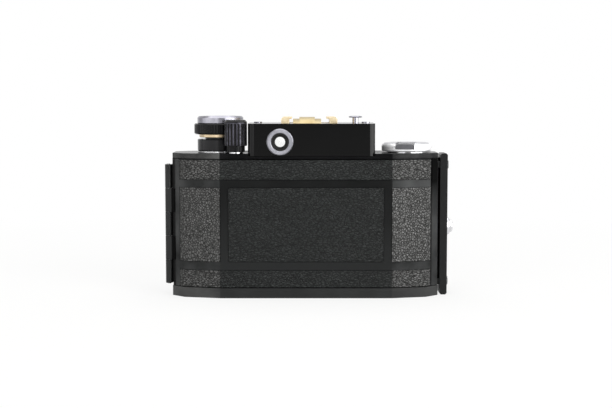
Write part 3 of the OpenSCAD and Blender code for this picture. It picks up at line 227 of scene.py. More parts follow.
# %% [markdown]
# ## Black enamel
# The sheet parts are dipped in black stoving enamel, flatted and polished: the housing of
# the finder to a mirror, the body to a satin. Enamel is a clear dielectric over black, so
# its colour stays almost black and the look comes from the gloss. A faint ripple of 2 mm
# and a cloud of handling in the roughness keep the reflections from being too perfect.

# %% Enamels
HANDLED_MM, RIPPLE_MM, FOOT_MM, WAIST_MM = 14.0, 2.2, 16, 48


def enamel(name, dark, pale, gloss, ripple_mm, shine, worn=None, low=None, fine_mm=0.25):
    """Enamel from dark to pale. worn: the colour painted on each slanting end as light. low: a
    paler colour painted toward the foot.
    """
    material, tree, where = start(name)
    handled = add(tree, "TexNoise", {"Vector": where, "Scale": 1 / HANDLED_MM, **RICH})
    ripple = add(tree, "TexNoise", {"Vector": where, "Scale": 1 / RIPPLE_MM, **SMOOTH})
    fine = add(tree, "TexNoise", {"Vector": where, "Scale": 1 / fine_mm, **SMOOTH})
    height = add(tree, "Math", (fine, 0.15, ripple), operation="MULTIPLY_ADD")
    cloud = add(tree, "MapRange", (handled, 0.3, 0.75))
    colour = add(tree, "Mix", {0: cloud, 6: dark, 7: pale}, **COLOURS)
    if worn:
        across, _, up = add(tree, "SeparateXYZ", (where,), None)
        # low paints the foot paler and the part above it darker: painted light and shade.
        if low:
            foot = add(tree, "MapRange", (up, FOOT_MM, WAIST_MM, 1, 0))
            colour = add(tree, "Mix", {0: foot, 6: colour, 7: low}, **COLOURS)
        # The slanting ends are painted paler: painted light.
        ends = [add(tree, "Mix", {0: cloud, 6: pale, 7: shade}, **COLOURS) for shade in worn]
        colour = on_chamfers(tree, across, colour, *ends)
        if low:
            colour, shine = shade_ends(tree, across, up, colour, shine)
    return finish(material, tree, height, ripple_mm, 0.6, Base_Color=colour,
                  Specular_IOR_Level=shine,
                  Roughness=add(tree, "MapRange",
                                (handled, 0.25, 0.75, gloss * 0.85, gloss * 1.25)))


# The colours given as worn are painted light on the slanting ends, and low is painted light toward
# the foot of the satin.
mirror_enamel = enamel("polished stoving enamel", "#020202", "#050505", 0.11, 0.003, 0.15)
deck_enamel = enamel("polished enamel on the top plate", "#0d0d0e", "#171718", 0.2, 0.005, 0.03,
                     worn=("#555554", "#4a4a4a"))
satin_enamel = enamel("satin stoving enamel", "#070808", "#0e0f0f", 0.34, 0.010, 0.12,
                      worn=("#404141", "#404141"), low="#1f2020")
edge_enamel = enamel("stoving enamel with painted light on its ends", "#121313", "#1e1f1f", 0.4, 0.012, 0.26,
                     worn=("#454544", "#2a2a29"))
knob_enamel = enamel("black nickel and enamel on the knobs", "#050506", "#08080a", 0.16, 0.006,
                     0.14)
collar_enamel = enamel("rubbed enamel on the collar", "#121214", "#1b1b1d", 0.2, 0.006, 0.18)
chamber_paint = enamel("matt black lacquer in the chambers", "#0b0b0b", "#151514", 0.7, 0.03,
                       0.25, fine_mm=0.4)
print("enamels:", [m.name for m in (mirror_enamel, deck_enamel, satin_enamel, edge_enamel,
                                    knob_enamel, collar_enamel, chamber_paint)])

# %% [markdown]
# ## Pieces with two coats, and painted shade
# The rail of the catch carries a bright bezel round its button. The hinge is painted black and
# dull behind its barrel, as painted shade, and the casting is matt inside, with painted light on
# its outer wall beside the rail. Each is one solid, so a step across the camera tells the coats and
# the painted light apart.

# %% Rail, hinge and casting
BEZEL_MM, BARREL_BACK_MM, CATCH_WALL_MM = 65.65, -62.3, 60.9


def two_coats(tree, cloud, share, first, second):
    """The first pair of colours, turned to the second by the share, both uneven by the cloud."""
    coats = [add(tree, "Mix", {0: cloud, 6: dark, 7: pale}, **COLOURS)
             for dark, pale in (first, second)]
    return add(tree, "Mix", {0: share, 6: coats[0], 7: coats[1]}, **COLOURS)


def catch_rail():
    """Satin enamel on the rail, and bright chrome on the bezel that stands out beside it."""
    material, tree, where = start("satin enamel and chrome on the rail of the catch")
    cloud = add(tree, "TexNoise", {"Vector": where, "Scale": 1 / 6.0, **SOFT})
    across = add(tree, "SeparateXYZ", (where,), "X")
    bezel = add(tree, "MapRange", (across, BEZEL_MM - 0.03, BEZEL_MM + 0.03))
    colour = two_coats(tree, cloud, bezel, ("#0d0e0e", "#171818"), ("#c4c4c8", "#ececee"))
    return finish(material, tree, cloud, 0.01, Base_Color=colour, Metallic=bezel,
                  Specular_IOR_Level=0.2,
                  Roughness=add(tree, "MapRange", (bezel, 0, 1, 0.32, 0.22)))


def hinge_enamel():
    """Satin enamel on the barrel, painted black and dull behind it as painted shade."""
    material, tree, where = start("satin enamel on the hinge")
    cloud = add(tree, "TexNoise", {"Vector": where, "Scale": 1 / 6.0, **SOFT})
    across = add(tree, "SeparateXYZ", (where,), "X")
    behind = add(tree, "MapRange", (across, BARREL_BACK_MM - 0.3, BARREL_BACK_MM + 0.3))
    rubbed = add(tree, "Mix", {0: cloud, 6: "#161717", 7: "#222323"}, **COLOURS)
    # Painted shade behind the barrel.
    colour = add(tree, "Mix", {0: behind, 6: rubbed, 7: "#040404"}, **COLOURS)
    return finish(material, tree, cloud, 0.01, Base_Color=colour,
                  Specular_IOR_Level=add(tree, "MapRange", (behind, 0, 1, 0.22, 0.03)),
                  Roughness=add(tree, "MapRange", (cloud, 0, 1, 0.3, 0.42)))


def cast_black():
    """Matt lacquer in the chambers, and painted light on the outer wall at the catch, strongest low
    and fading toward the top.
    """
    material, tree, where = start("matt black lacquer on the casting")
    cloud = add(tree, "TexNoise", {"Vector": where, "Scale": 1 / 3.0, **SOFT})
    across, _, up = add(tree, "SeparateXYZ", (where,), None)
    wall = add(tree, "MapRange", (across, CATCH_WALL_MM - 0.1, CATCH_WALL_MM + 0.1))
    lower = add(tree, "MapRange", (up, 30, 52, 1, 0.1))
    # Painted light on the outer wall, strongest low and fading toward the top.
    outside = add(tree, "Math", (wall, lower), operation="MULTIPLY")
    colour = two_coats(tree, cloud, outside, ("#0b0b0b", "#151514"), ("#3a3a3a", "#4a4a4a"))
    return finish(material, tree, cloud, 0.03, Base_Color=colour, Specular_IOR_Level=0.25,
                  Roughness=add(tree, "MapRange", (cloud, 0, 1, 0.6, 0.75)))


rail_black, hinge_black, casting_paint = catch_rail(), hinge_enamel(), cast_black()
print("two coats:", rail_black.name, "/", hinge_black.name, "/", casting_paint.name)

# %% [markdown]
# ## Round the axis of a turned piece
# Knobs, rings and tubes are turned on a lathe, and what marks or wears them goes round their
# axis. So their patterns read only the distance from that axis and the place along it, which
# are the same all the way round. A Mapping node first brings the axis upright.

# %% The axes of the turned pieces
WIND, REWIND, SPEED = (-40.15, 4.3, 0), (46.9, 0.5, 0), (-32.15, -11.5, 0)
LENS_AXIS, EYEPIECE, SHOE = (2.4, 0.0, 33.0), (-11.8, 0, 71.5), (1.5, 0, 80)
UPRIGHT, FORWARD = (0.0, 0.0, 0.0), (math.pi / 2, 0.0, 0.0)


def around(tree, where, centre_mm, lie=UPRIGHT):
    """The distance from the axis of a turned piece, and the place along that axis."""
    moved = add(tree, "VectorMath", (where, centre_mm), operation="SUBTRACT")
    upright = add(tree, "Mapping", {"Vector": moved, "Rotation": lie})
    x, y, along = add(tree, "SeparateXYZ", (upright,), None)
    flat = add(tree, "CombineXYZ", (x, y))
    return add(tree, "VectorMath", (flat,), "Value", operation="LENGTH"), along


print("the dial turns about", WIND, "and the lens about", LENS_AXIS)

# %% [markdown]
# ## Turned metals
# The tool leaves fine circles, which are what makes plated and polished chrome look drawn out
# into rays. They are a noise of the distance and the height. The side of the rewind disc is
# painted a near-white colour with little metal, a painted reflection of the bright studio, and
# its top is bright chrome, so its metal can change at a height.

# %% Turned metal
DISC_FACE_MM, STAIN_MM, TOOL_DEPTH_MM = 70.3, 7.0, 0.004


def turned_metal(name, dark, pale, gloss, centre_mm=(0, 0, 0), lie=UPRIGHT, mark_mm=0.3,
                 metallic=1.0, stains=0.55, bright_above=None):
    material, tree, where = start(name)
    radius, along = around(tree, where, centre_mm, lie)
    lathe = add(tree, "CombineXYZ", {0: radius, 2: along})
    marks = add(tree, "TexNoise", {"Vector": lathe, "Scale": 1 / mark_mm, "Detail": 4.0,
                                   "Roughness": 0.7})
    cloud = add(tree, "TexNoise", {"Vector": where, "Scale": 1 / STAIN_MM, **SOFT})
    stain = add(tree, "MapRange", (cloud, 0.3, 0.7, 0.0, stains))
    share = add(tree, "Math", (marks, 0.45, stain), operation="MULTIPLY_ADD")
    colour = add(tree, "Mix", {0: share, 6: dark, 7: pale}, **COLOURS)
    if bright_above:
        on_top = add(tree, "MapRange", (along, bright_above - 0.1, bright_above))
        rays = add(tree, "MapRange", (marks, 0, 1, 0.9, 0.5))
        drawn = add(tree, "Math", (on_top, rays), operation="MULTIPLY")
        colour = add(tree, "Mix", {0: drawn, 6: colour, 7: "#98989d"}, **COLOURS)
        metallic = add(tree, "MapRange", (on_top, 0, 1, metallic, 1))
    return finish(material, tree, marks, TOOL_DEPTH_MM, 0.5, Metallic=metallic,
                  Base_Color=colour,
                  Roughness=add(tree, "MapRange",
                                (marks, 0.25, 0.75, gloss * 0.7, gloss * 1.3)))


small_chrome = turned_metal("polished chrome on small turned parts", "#c8c8cb", "#f0f0f1", 0.16)
print("the first metal is", small_chrome.name)

# %% [markdown]
# Chrome, brass and steel differ in colour and polish only. The photograph shows the dial and
# the eyepiece as a lilac grey, the disc as a pearl white and the shoe as pale gilt, whose
# lower metallic share lets it keep its colour where the reflections are dark.

# %% Chrome, brass and steel
dial_chrome = turned_metal("brushed chrome on the dial", "#6d6c74", "#a6a5ad", 0.24, WIND)
# The side of the disc is painted near white with little metal: a painted reflection of the bright
# studio in its chrome.
disc_chrome = turned_metal("chrome on the rewind disc with its side painted white", "#ececee", "#ffffff", 0.34, REWIND,
                           metallic=0.3, stains=0.4, bright_above=DISC_FACE_MM)
grey_chrome = turned_metal("worn chrome on the release and the cap screws", "#74737b",
                           "#aeadb6", 0.25)
eye_chrome = turned_metal("satin chrome on the eyepiece", "#78787f", "#ababb2", 0.42, EYEPIECE,
                          FORWARD)
lens_chrome = turned_metal("satin chrome on the lens", "#a3a3a6", "#d0d0d2", 0.26, LENS_AXIS,
                           FORWARD)
brass = turned_metal("lacquered brass", "#96856a", "#c6b497", 0.26, WIND)
gilt = turned_metal("gilt brass", "#c5a262", "#f6e9c9", 0.34, SHOE, mark_mm=0.7, metallic=0.6)
gilt_spring = turned_metal("gilt spring bronze", "#917b4c", "#cbbd96", 0.38, SHOE, mark_mm=0.7,
                           metallic=0.6)
steel = turned_metal("turned steel", "#77787a", "#b2b2b0", 0.3, stains=0.25)
gate_steel = turned_metal("ground and polished steel at the film gate", "#8c8d8f", "#b4b4b3",
                          0.22, stains=0.1)
black_steel = turned_metal("blued steel", "#232326", "#3b3b41", 0.35)
dull_nickel = turned_metal("worn black nickel on the key", "#4a4a4c", "#6f6f73", 0.34)
print("metals:", [m.name for m in (dial_chrome, disc_chrome, eye_chrome, gilt, steel)])

# %% [markdown]
# ## Ribs worn and painted with highlights
# The speed drum is black nickel, and the tops of its ribs are painted to a grey line each:
# nickel worn bare by fingers, and a painted highlight along each rib. The tops are where the
# distance from the drum's axis is greatest, so that distance is the mask. The plain rim above the
# ribs is as wide as they are, and a second step keeps it dark.

# %% Speed drum
DRUM_MM, RIM_MM = 5.2, 80.3


def worn_ribs(name, centre_mm, top_mm, rim_mm):
    """Black nickel with the rib tops below the rim painted paler: worn bare, and a painted
    highlight.
    """
    material, tree, where = start(name)
    radius, along = around(tree, where, centre_mm)
    cloud = add(tree, "TexNoise", {"Vector": where, "Scale": 1 / 3.0, **SOFT})
    tops = add(tree, "MapRange", (radius, top_mm - 0.05, top_mm))
    worn = add(tree, "MapRange", (cloud, 0.35, 0.6, 0.2, 1))
    under_rim = add(tree, "MapRange", (along, rim_mm - 0.4, rim_mm, 1, 0.15))
    rubbed = add(tree, "Math", (worn, under_rim), operation="MULTIPLY")
    share = add(tree, "Math", (tops, rubbed), operation="MULTIPLY")
    colour = add(tree, "Mix", {0: share, 6: "#040405", 7: "#4c4b53"}, **COLOURS)
    return finish(material, tree, cloud, 0.006, Base_Color=colour, Specular_IOR_Level=0.16,
                  Metallic=add(tree, "MapRange", (share, 0, 1, 0.1, 0.8)),
                  Roughness=add(tree, "MapRange", (cloud, 0, 1, 0.22, 0.34)))


rib_enamel = worn_ribs("black nickel on the speed drum", SPEED, DRUM_MM, RIM_MM)
print("ribs rubbed", DRUM_MM, "mm from the drum's axis, below", RIM_MM, "mm")

# %% [markdown]
# ## Mouldings, cloth and glass
# The take-up spool is pressed from black phenolic, which is dull with a faint brown. The
# shutter's blind is silk in a film of rubber, woven at 0.3 mm: two crossed waves, the higher
# of which wins. The lenses carry the thin blue bloom of a single coating: glass that lets
# light through, with a faint tint.

# %% Phenolic, silk and glass
WEAVE_MM = 0.6


def phenolic():
    material, tree, where = start("pressed black phenolic")
    cloud = add(tree, "TexNoise", {"Vector": where, "Scale": 1 / 5.0, **SOFT})
    colour = add(tree, "Mix", {0: cloud, 6: "#0d0b0a", 7: "#1c1816"}, **COLOURS)
    return finish(material, tree, cloud, 0.02, Base_Color=colour,
                  Roughness=add(tree, "MapRange", (cloud, 0, 1, 0.4, 0.6)))


def rubbered_silk():
    material, tree, where = start("rubbered silk")
    threads = [add(tree, "TexWave", {"Vector": where, "Scale": 1 / WEAVE_MM, "Distortion": 0.6},
                   "Fac", bands_direction=way) for way in "XZ"]
    weave = add(tree, "Math", threads, operation="MAXIMUM")
    colour = add(tree, "Mix", {0: weave, 6: "#08080a", 7: "#17171a"}, **COLOURS)
    return finish(material, tree, weave, 0.05, Base_Color=colour,
                  Roughness=add(tree, "MapRange", (weave, 0, 1, 0.55, 0.75)))


def coated_glass(name, tint, clear):
    material, tree, where = start(name)
    film = add(tree, "TexNoise", {"Vector": where, "Scale": 1 / 18.0, **SOFT})
    colour = add(tree, "Mix", {0: film, 6: tint, 7: clear}, **COLOURS)
    return finish(material, tree, film, 0.0005, 0.1, Base_Color=colour, IOR=1.52,
                  Transmission_Weight=1.0,
                  Roughness=add(tree, "MapRange", (film, 0, 1, 0.0, 0.02)))


spool_plastic, silk = phenolic(), rubbered_silk()
lens_glass = coated_glass("coated crown glass", "#dfe4ff", "#f4f8ff")
window_glass = coated_glass("plain window glass", "#fcfdfc", "#ffffff")
print("more:", spool_plastic.name, silk.name, lens_glass.name, window_glass.name)

# %% [markdown]
# ## Dress the solids
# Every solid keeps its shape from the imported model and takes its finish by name. Its slots
# are emptied and filled with one material, because each solid is one piece of one material.

# %% Which finish goes where
FINISHES = [
    (leather, ["leather_centre", "leather_strips"]),
    (leather_ends, ["leather_sides", "front_leather"]),
    (mirror_enamel, ["finder_housing"]),
    (deck_enamel, ["top_plate"]),
    (satin_enamel, ["back_shell", "front_plate"]),
    (edge_enamel, ["base_pan"]),
    (rail_black, ["latch_rail"]),
    (hinge_black, ["hinge_leaf_body", "hinge_leaf_door"]),
    (knob_enamel, ["wind_knob"]),
    (collar_enamel, ["wind_collar"]),
    (rib_enamel, ["speed_drum"]),
    (casting_paint, ["main_casting"]),
    (chamber_paint, ["finder_block", "eyepiece_cup"]),
    (dial_chrome, ["wind_dial"]),
    (disc_chrome, ["rewind_disc"]),
    (small_chrome, ["catch_button", "deck_rings"]),
    (grey_chrome, ["housing_screws", "release_button"]),
    (eye_chrome, ["eyepiece_ring"]),
    (lens_chrome, ["lens_flange", "focus_ring", "lens_barrel", "front_bezel", "aperture_ring"]),
    (brass, ["wind_brass_disc", "tripod_bush", "pressure_spring"]),
    (gilt, ["accessory_shoe"]),
    (gilt_spring, ["shoe_spring"]),
    (steel, ["base_screws", "hinge_pin", "rail_screws", "flange_screws",
             "wind_shaft", "sprocket_drum", "rewind_shaft", "roller_left", "roller_right"]),
    (gate_steel, ["gate_frame"]),
    (dull_nickel, ["rewind_key"]),
    (black_steel, ["pressure_plate", "shutter_crate", "catch_keeper"]
     + [f"iris_blade_{i}" for i in range(1, 6)]),
    (spool_plastic, ["takeup_spool"]),
    (silk, ["shutter_blind"]),
    (lens_glass, ["front_element", "middle_element", "rear_element"]),
    (window_glass, ["finder_glass"]),
]
for material, names in FINISHES:
    for name in names:
        slots = nodes[name].data.materials
        slots.clear()
        slots.append(material)
bare = sorted(set(nodes) - {n for _, names in FINISHES for n in names})
print("solids without a finish:", bare)

# %% [markdown]
# ## Broken edges
# No edge of a real casting is sharp: tumbling and polishing round it, and that thin round is
# what catches the light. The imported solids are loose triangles, so a Weld first joins them and
# a Decimate makes whole faces of them. A Bevel then rounds only the edges that turn by more
# than 35 degrees. A Weighted Normal last lets the large faces rule the shading, so that a
# reflection runs straight to the edge.

# %% Round the edges that show
JOIN_MM, FLAT_DEGREES, SHARP_DEGREES = 0.001, 0.3, 35
EDGES = {0.25: ["finder_housing", "latch_rail", "base_pan", "top_plate"],
         0.12: ["back_shell", "front_plate", "hinge_leaf_body", "hinge_leaf_door",
                "accessory_shoe", "leather_centre", "leather_strips", "leather_sides",
                "front_leather", "rewind_key"]}
for width_mm, names in EDGES.items():
    for name in names:
        piece = nodes[name]
        weld = piece.modifiers.new("join", "WELD")
        weld.merge_threshold = JOIN_MM * MM
        flat = piece.modifiers.new("whole faces", "DECIMATE")
        flat.decimate_type = "DISSOLVE"
        flat.angle_limit = math.radians(FLAT_DEGREES)
        bevel = piece.modifiers.new("broken edge", "BEVEL")
        bevel.width = width_mm * MM
        bevel.segments = 2
        bevel.limit_method = "ANGLE"
        bevel.angle_limit = math.radians(SHARP_DEGREES)
        piece.modifiers.new("even shading", "WEIGHTED_NORMAL")
print("rounded:", sum(len(names) for names in EDGES.values()), "solids")

# %% [markdown]
# ## Engraved scales
# The dials carry plain numbers and ticks, cut by an engraver and filled with paint. They could
# be an image on the metal, but then they would blur up close. Here each scale is one thin piece
# of mesh that rides on the ring it belongs to.

# %% Paint for the engraving
def filled_engraving(name, dark, pale):
    material, tree, where = start(name)
    cloud = add(tree, "TexNoise", {"Vector": where, "Scale": 1 / 0.4, **SMOOTH})
    colour = add(tree, "Mix", {0: cloud, 6: dark, 7: pale}, **COLOURS)
    return finish(material, tree, cloud, 0.01, Base_Color=colour, Specular_IOR_Level=0.2,
                  Roughness=add(tree, "MapRange", (cloud, 0, 1, 0.45, 0.65)))


black_fill = filled_engraving("black paint in the engraving", "#060606", "#141414")
white_fill = filled_engraving("white paint in the engraving", "#c9c7c0", "#e9e7e0")
red_fill = filled_engraving("red paint in the engraving", "#8c1410", "#a8231c")
print("paint:", black_fill.name, "/", white_fill.name, "/", red_fill.name)

# %% [markdown]
# A number is written flat at the origin, made a mesh, and only then stood on its place: a
# matrix whose columns are the reading direction, the up direction and the normal of the metal
# there. A tick is a square of 1 mm, stretched by the same kind of matrix.

# %% Numbers and ticks
FONT_OVER_FIGURE = 1.4


def number(shape, text, size_mm, place):
    """Adds a number, size_mm high, to the bmesh, stood up by the matrix place."""
    curve = bpy.data.curves.new("number", "FONT")
    curve.body, curve.size = text, size_mm * MM * FONT_OVER_FIGURE
    curve.align_x, curve.align_y, curve.resolution_u = "CENTER", "CENTER", 3
    writer = bpy.data.objects.new("number", curve)
    bpy.context.scene.collection.objects.link(writer)
    graph = bpy.context.evaluated_depsgraph_get()
    flat = bpy.data.meshes.new_from_object(writer.evaluated_get(graph))
    flat.transform(place)
    shape.from_mesh(flat)
    bpy.data.objects.remove(writer)
    bpy.data.curves.remove(curve)
    bpy.data.meshes.remove(flat)


def tick(shape, wide_mm, high_mm, place):
    """Adds a short bar to the bmesh, stood up by the matrix place."""
    bmesh.ops.create_grid(shape, x_segments=1, y_segments=1, size=0.5 * MM,
                          matrix=place @ Matrix.Diagonal((wide_mm, high_mm, 1, 1)))


print("a figure 1 mm high takes a font of", FONT_OVER_FIGURE, "mm")

# %% [markdown]
# A place on a ring is an angle and a radius. The top of a knob is flat, and the head of each
# number points to its middle. The lens is read from behind the camera, so the head of a number
# points to the front there, and the metal that carries it can lean that way too.

# %% Places on the metal
def frame_at(point_mm, right, up):
    right, up = Vector(right).normalized(), Vector(up).normalized()
    place = Matrix((right, up, right.cross(up))).transposed().to_4x4()
    place.translation = Vector(point_mm) * MM
    return place


def flat_place(centre_mm, radius_mm, degrees, high_mm):
    """On a flat dial seen from above, with the head of the number toward the middle."""
    a = math.radians(degrees)
    out = Vector((math.cos(a), math.sin(a), 0))
    point = Vector((centre_mm[0], centre_mm[1], high_mm)) + out * radius_mm
    return frame_at(point, (-math.sin(a), math.cos(a), 0), -out)


def lens_place(radius_mm, degrees, forward_mm, slope=0.0):
    """On the outside of the lens, read from behind it; slope leans the metal to the front."""
    a, lean = math.radians(degrees), math.radians(slope)
    out = Vector((math.cos(a), 0, math.sin(a)))
    point = Vector((LENS_AXIS[0], forward_mm, LENS_AXIS[2])) + out * radius_mm
    up = Vector((0, math.cos(lean), 0)) - out * math.sin(lean)
    return frame_at(point, (math.sin(a), 0, -math.cos(a)), up)


def piece_of(name, shape, material):
    """Puts the bmesh into the scene as one piece of one material, at the origin."""
    mesh = bpy.data.meshes.new(name)
    shape.to_mesh(mesh)
    shape.free()
    mesh.materials.append(material)
    piece = bpy.data.objects.new(name, mesh)
    bpy.context.scene.collection.objects.link(piece)
    return piece


noon = lens_place(20, 90, 27).translation / MM
print("20 mm over the lens's axis is", [round(c, 1) for c in noon])

# %% [markdown]
# The winding dial counts 36 pictures in steps of ten degrees, and the drum holds nine times.
# Both are read from behind, so their zero is toward the photographer. The paint stands two
# hundredths of a millimetre proud, or it would flicker against the metal.

# %% The counter and the times
PAINT_MM = 0.02
DIAL_TOP_MM, DRUM_TOP_MM = 82.55 + PAINT_MM, 81.45 + PAINT_MM
AT_THE_BACK, PICTURES, PICTURE_STEP, SPEED_STEP = 270, 36, 10, 36
LONG_TICK, SHORT_TICK = (0.22, 1.1, 7.0), (0.14, 0.7, 7.2)

counter = bmesh.new()
for picture in range(PICTURES):
    turn = AT_THE_BACK - picture * PICTURE_STEP
    fifth = picture % 5 == 0
    wide_mm, high_mm, radius_mm = LONG_TICK if fifth else SHORT_TICK
    tick(counter, wide_mm, high_mm, flat_place(WIND, radius_mm, turn, DIAL_TOP_MM))
    if fifth:
        number(counter, str(picture), 1.3, flat_place(WIND, 5.3, turn, DIAL_TOP_MM))
tick(counter, 0.5, 0.5, flat_place(WIND, 0, 45, DIAL_TOP_MM))

speeds = bmesh.new()
for step, value in enumerate((1, 2, 5, 10, 25, 50, 100, 250, 500)):
    number(speeds, str(value), 0.85,
           flat_place(SPEED, 3.1, AT_THE_BACK - step * SPEED_STEP, DRUM_TOP_MM))
print("counter:", len(counter.faces), "faces; times:", len(speeds.faces))

# %% [markdown]
# The focusing ring turns by half a turn and the aperture ring by 66 degrees. Their scales run
# over just that much, so that at each limit the last number stands at its red line. The
# distances crowd together toward infinity, as the lens then hardly moves.

# %% The distances and the openings
ON_TOP, FOCUS_TURN, STOP_TURN, SLOPE = 90, 180, 66, 45
STOP_RING_MM, FLANGE_MM = 17.5 + PAINT_MM, 21.5 + PAINT_MM
NUMBER_OUT, NUMBER_ALONG, TICK_OUT, TICK_ALONG = 20.44, 27.56, 21.2, 26.82
DISTANCES = ((0, "20"), (0.14, "10"), (0.28, "5"), (0.4, "3"), (0.52, "2"), (0.66, "1.5"),
             (0.82, "1.2"), (1.0, "1"))
OPENINGS = ("3.5", "4", "5.6", "8", "11", "16", "22")

distances = bmesh.new()
for share, value in DISTANCES:
    turn = ON_TOP + share * FOCUS_TURN
    number(distances, value, 1.15, lens_place(NUMBER_OUT, turn, NUMBER_ALONG, SLOPE))
    tick(distances, 0.2, 0.4, lens_place(TICK_OUT, turn, TICK_ALONG, SLOPE))

openings = bmesh.new()
for step, value in enumerate(OPENINGS):
    turn = ON_TOP + step * STOP_TURN / (len(OPENINGS) - 1)
    number(openings, value, 1.0, lens_place(STOP_RING_MM, turn, 32.55))
    tick(openings, 0.2, 0.35, lens_place(STOP_RING_MM, turn, 31.6))

index_lines = bmesh.new()
tick(index_lines, 0.35, 1.2, lens_place(FLANGE_MM, ON_TOP, 19.1))
stop_index = bmesh.new()
tick(stop_index, 0.35, 1.2, lens_place(STOP_RING_MM, ON_TOP, 30.5))
print("distances:", len(distances.faces), "faces; openings:", len(openings.faces))

# %% [markdown]
# Each scale rides on the body that carries it, so that it turns with its ring at every pose.

# %% Hand the scales to their bodies
for name, shape, material, body in (
        ("counter_scale", counter, black_fill, "winder"),
        ("speed_scale", speeds, white_fill, "speed"),
        ("distance_scale", distances, black_fill, "focusing"),
        ("aperture_scale", openings, black_fill, "stops"),
        ("distance_index", index_lines, red_fill, "body"),
        ("aperture_index", stop_index, red_fill, "lens")):
    piece = piece_of(name, shape, material)
    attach(piece, body)
    print(piece.name, "has", len(piece.data.polygons), "faces")

# %% [markdown]
# ## White table
# The camera stands on white paper. A sheet of plain white would turn grey toward the horizon,
# so the paper adds a share of its own white, which is less beside the camera, where it keeps
# the shadow, and full from 400 mm on, where it meets the backdrop without a line.

# %% The paper
WHITE = (1, 1, 1, 1)
TABLE_M, SHADOW_MM, WHITE_MM, NEAR_SHARE = 4.0, 120, 400, 0.78


def seen_in_gloss(tree, ray):
    """1 for what is seen by reflection or through glass."""
    return add(tree, "Math", (ray["Is Glossy Ray"], ray["Is Transmission Ray"]),
               operation="MAXIMUM")


def table():
    material, tree, where = start("white paper")
    ray = add(tree, "LightPath", out=None)
    fibre = add(tree, "TexNoise", {"Vector": where, "Scale": 1 / 3.0, **SOFT})
    paper = add(tree, "BsdfDiffuse",
                {"Color": add(tree, "Mix", {0: fibre, 6: "#e9e9e7", 7: "#eeeeec"}, **COLOURS)})
    white = add(tree, "Emission", {"Color": WHITE, "Strength": 1.0})
    looked_at = add(tree, "Math", (ray["Is Camera Ray"], seen_in_gloss(tree, ray)),
                    operation="MAXIMUM")
    away = add(tree, "VectorMath", (where,), "Value", operation="LENGTH")
    own_white = add(tree, "MapRange", (away, SHADOW_MM, WHITE_MM, NEAR_SHARE, 1.0))
    seen = add(tree, "Math", (looked_at, own_white), operation="MULTIPLY")
    both = add(tree, "MixShader", (seen, paper, white))
    add(tree, "OutputMaterial", {"Surface": both}, None)
    shape = bmesh.new()
    bmesh.ops.create_grid(shape, x_segments=1, y_segments=1, size=TABLE_M)
    piece = piece_of("white_table", shape, material)
    return piece


print("table:", table().name)

# %% [markdown]
# ## White cards
# Chrome shows what stands round it, so a photographer sets white cards beside it. Here a card
# glows only for reflections and is clear to everything else: it draws a bright line along
# the ribs and the rims, and adds no light to the rest.

# %% The cards
CARD_HIGH_M = 0.8


def card(name, near, far, strength):
    """A standing white card from near to far that only reflections see."""
    material, tree, where = start(name)
    cloud = add(tree, "TexNoise", {"Vector": where, "Scale": 1 / 400, **SOFT})
    fall = add(tree, "MapRange", (cloud, 0.3, 0.7, 0.9 * strength, 1.1 * strength))
    glow = add(tree, "Emission", {"Color": WHITE, "Strength": fall})
    clear = add(tree, "BsdfTransparent")
    both = add(tree, "MixShader", (add(tree, "LightPath", out="Is Glossy Ray"), clear, glow))
    add(tree, "OutputMaterial", {"Surface": both}, None)
    shape = bmesh.new()
    bmesh.ops.create_grid(shape, x_segments=1, y_segments=1, size=0.5)
    along = Vector(far) - Vector(near)
    for corner in shape.verts:
        share, up = corner.co.x + 0.5, corner.co.y + 0.5
        corner.co = Vector(near) + along * share + Vector((0, 0, CARD_HIGH_M * up))
    piece = piece_of(name, shape, material)
    return piece


print("cards:", card("card_right", (0.45, -0.95, 0), (0.95, 0.1, 0), 6.0).name,
      card("card_left", (-0.45, -0.95, 0), (-0.95, 0.1, 0), 2.0).name)

# %% [markdown]
# ## Backdrop
# The world is pure white where the lens sees it. Reflections see a studio in it, bright
# behind the camera and half as bright where the photographer stands. Everything else gets a
# soft fill, weak enough for the black enamel to stay black.

# %% World
FILL, ROOM, BACKDROP = 0.42, 0.5, 1.0
ROOM_ENDS, BACKDROP_STARTS = -0.9, 0.1

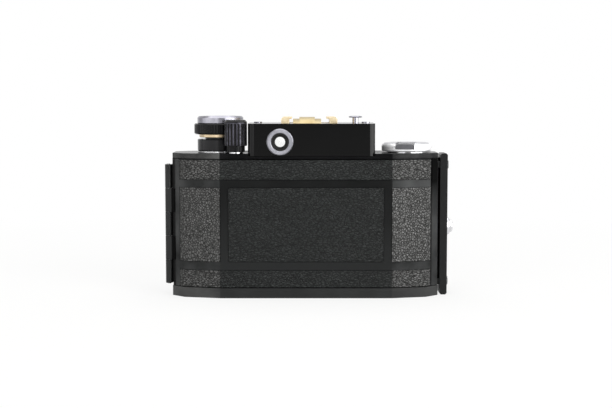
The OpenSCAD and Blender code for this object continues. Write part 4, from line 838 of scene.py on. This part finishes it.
world = bpy.data.worlds.new("white studio")
bpy.context.scene.world = world
world.use_nodes = True
sky = world.node_tree
sky.nodes.clear()
ray = add(sky, "LightPath", out=None)
depth = add(sky, "SeparateXYZ", (add(sky, "TexCoord", out="Generated"),), "Y")
room = add(sky, "MapRange", (depth, ROOM_ENDS, BACKDROP_STARTS, ROOM, BACKDROP))
fill, studio, backdrop = [add(sky, "Background", {"Color": WHITE, "Strength": strength})
                          for strength in (FILL, room, BACKDROP)]
lit = add(sky, "MixShader", (seen_in_gloss(sky, ray), fill, studio))
seen = add(sky, "MixShader", (ray["Is Camera Ray"], lit, backdrop))
add(sky, "OutputWorld", {"Surface": seen}, None)
print("world:", world.name, "with a fill of", FILL)

# %% [markdown]
# ## Lamps
# Three soft boxes light the camera: one above, one on each side behind the photographer. The
# right one is stronger and stands closer to the side, because the photograph shows the right
# end of the camera paler than the left.

# %% Soft boxes
MIDDLE = (0.0, 0.0, 0.04)


def soft_box(name, place, size, power):
    lamp = bpy.data.lights.new(name, "AREA")
    lamp.shape = "RECTANGLE"
    lamp.size, lamp.size_y = size
    lamp.energy = power
    piece = bpy.data.objects.new(name, lamp)
    piece.location = place
    piece.rotation_euler = (Vector(MIDDLE) - Vector(place)).to_track_quat("-Z", "Y").to_euler()
    bpy.context.scene.collection.objects.link(piece)


soft_box("top_tent", (0.0, 0.1, 1.1), (1.2, 1.2), 9.0)
soft_box("left_tent", (-0.55, -0.97, 0.35), (0.9, 0.8), 5.0)
soft_box("right_tent", (0.78, -0.8, 0.35), (0.7, 0.8), 8.0)

# %% [markdown]
# ## Camera
# The photograph was taken from 0.6 m with a long lens, looking down by five degrees. Its focal
# length in pixels, over its width in pixels and times the width of the sensor, is the lens in
# millimetres.

# %% The view of the photograph
FOCAL_PX, PHOTO_WIDE_PX, SENSOR_MM, LOOKS_DOWN = 1270, 612, 36, 5
STANDS_AT = (0.0, -0.59265, 0.09371)

shot = bpy.data.cameras.new("shot")
shot.lens = FOCAL_PX / PHOTO_WIDE_PX * SENSOR_MM
shot.sensor_width = SENSOR_MM
shot.clip_start = 0.01
view = bpy.data.objects.new("shot", shot)
view.location = STANDS_AT
view.rotation_euler = (math.radians(90 - LOOKS_DOWN), 0.0, 0.0)
bpy.context.scene.collection.objects.link(view)
bpy.context.scene.camera = view
bpy.context.scene.view_settings.view_transform = "Standard"
print("camera at", tuple(view.location), "with", round(shot.lens, 1), "mm")
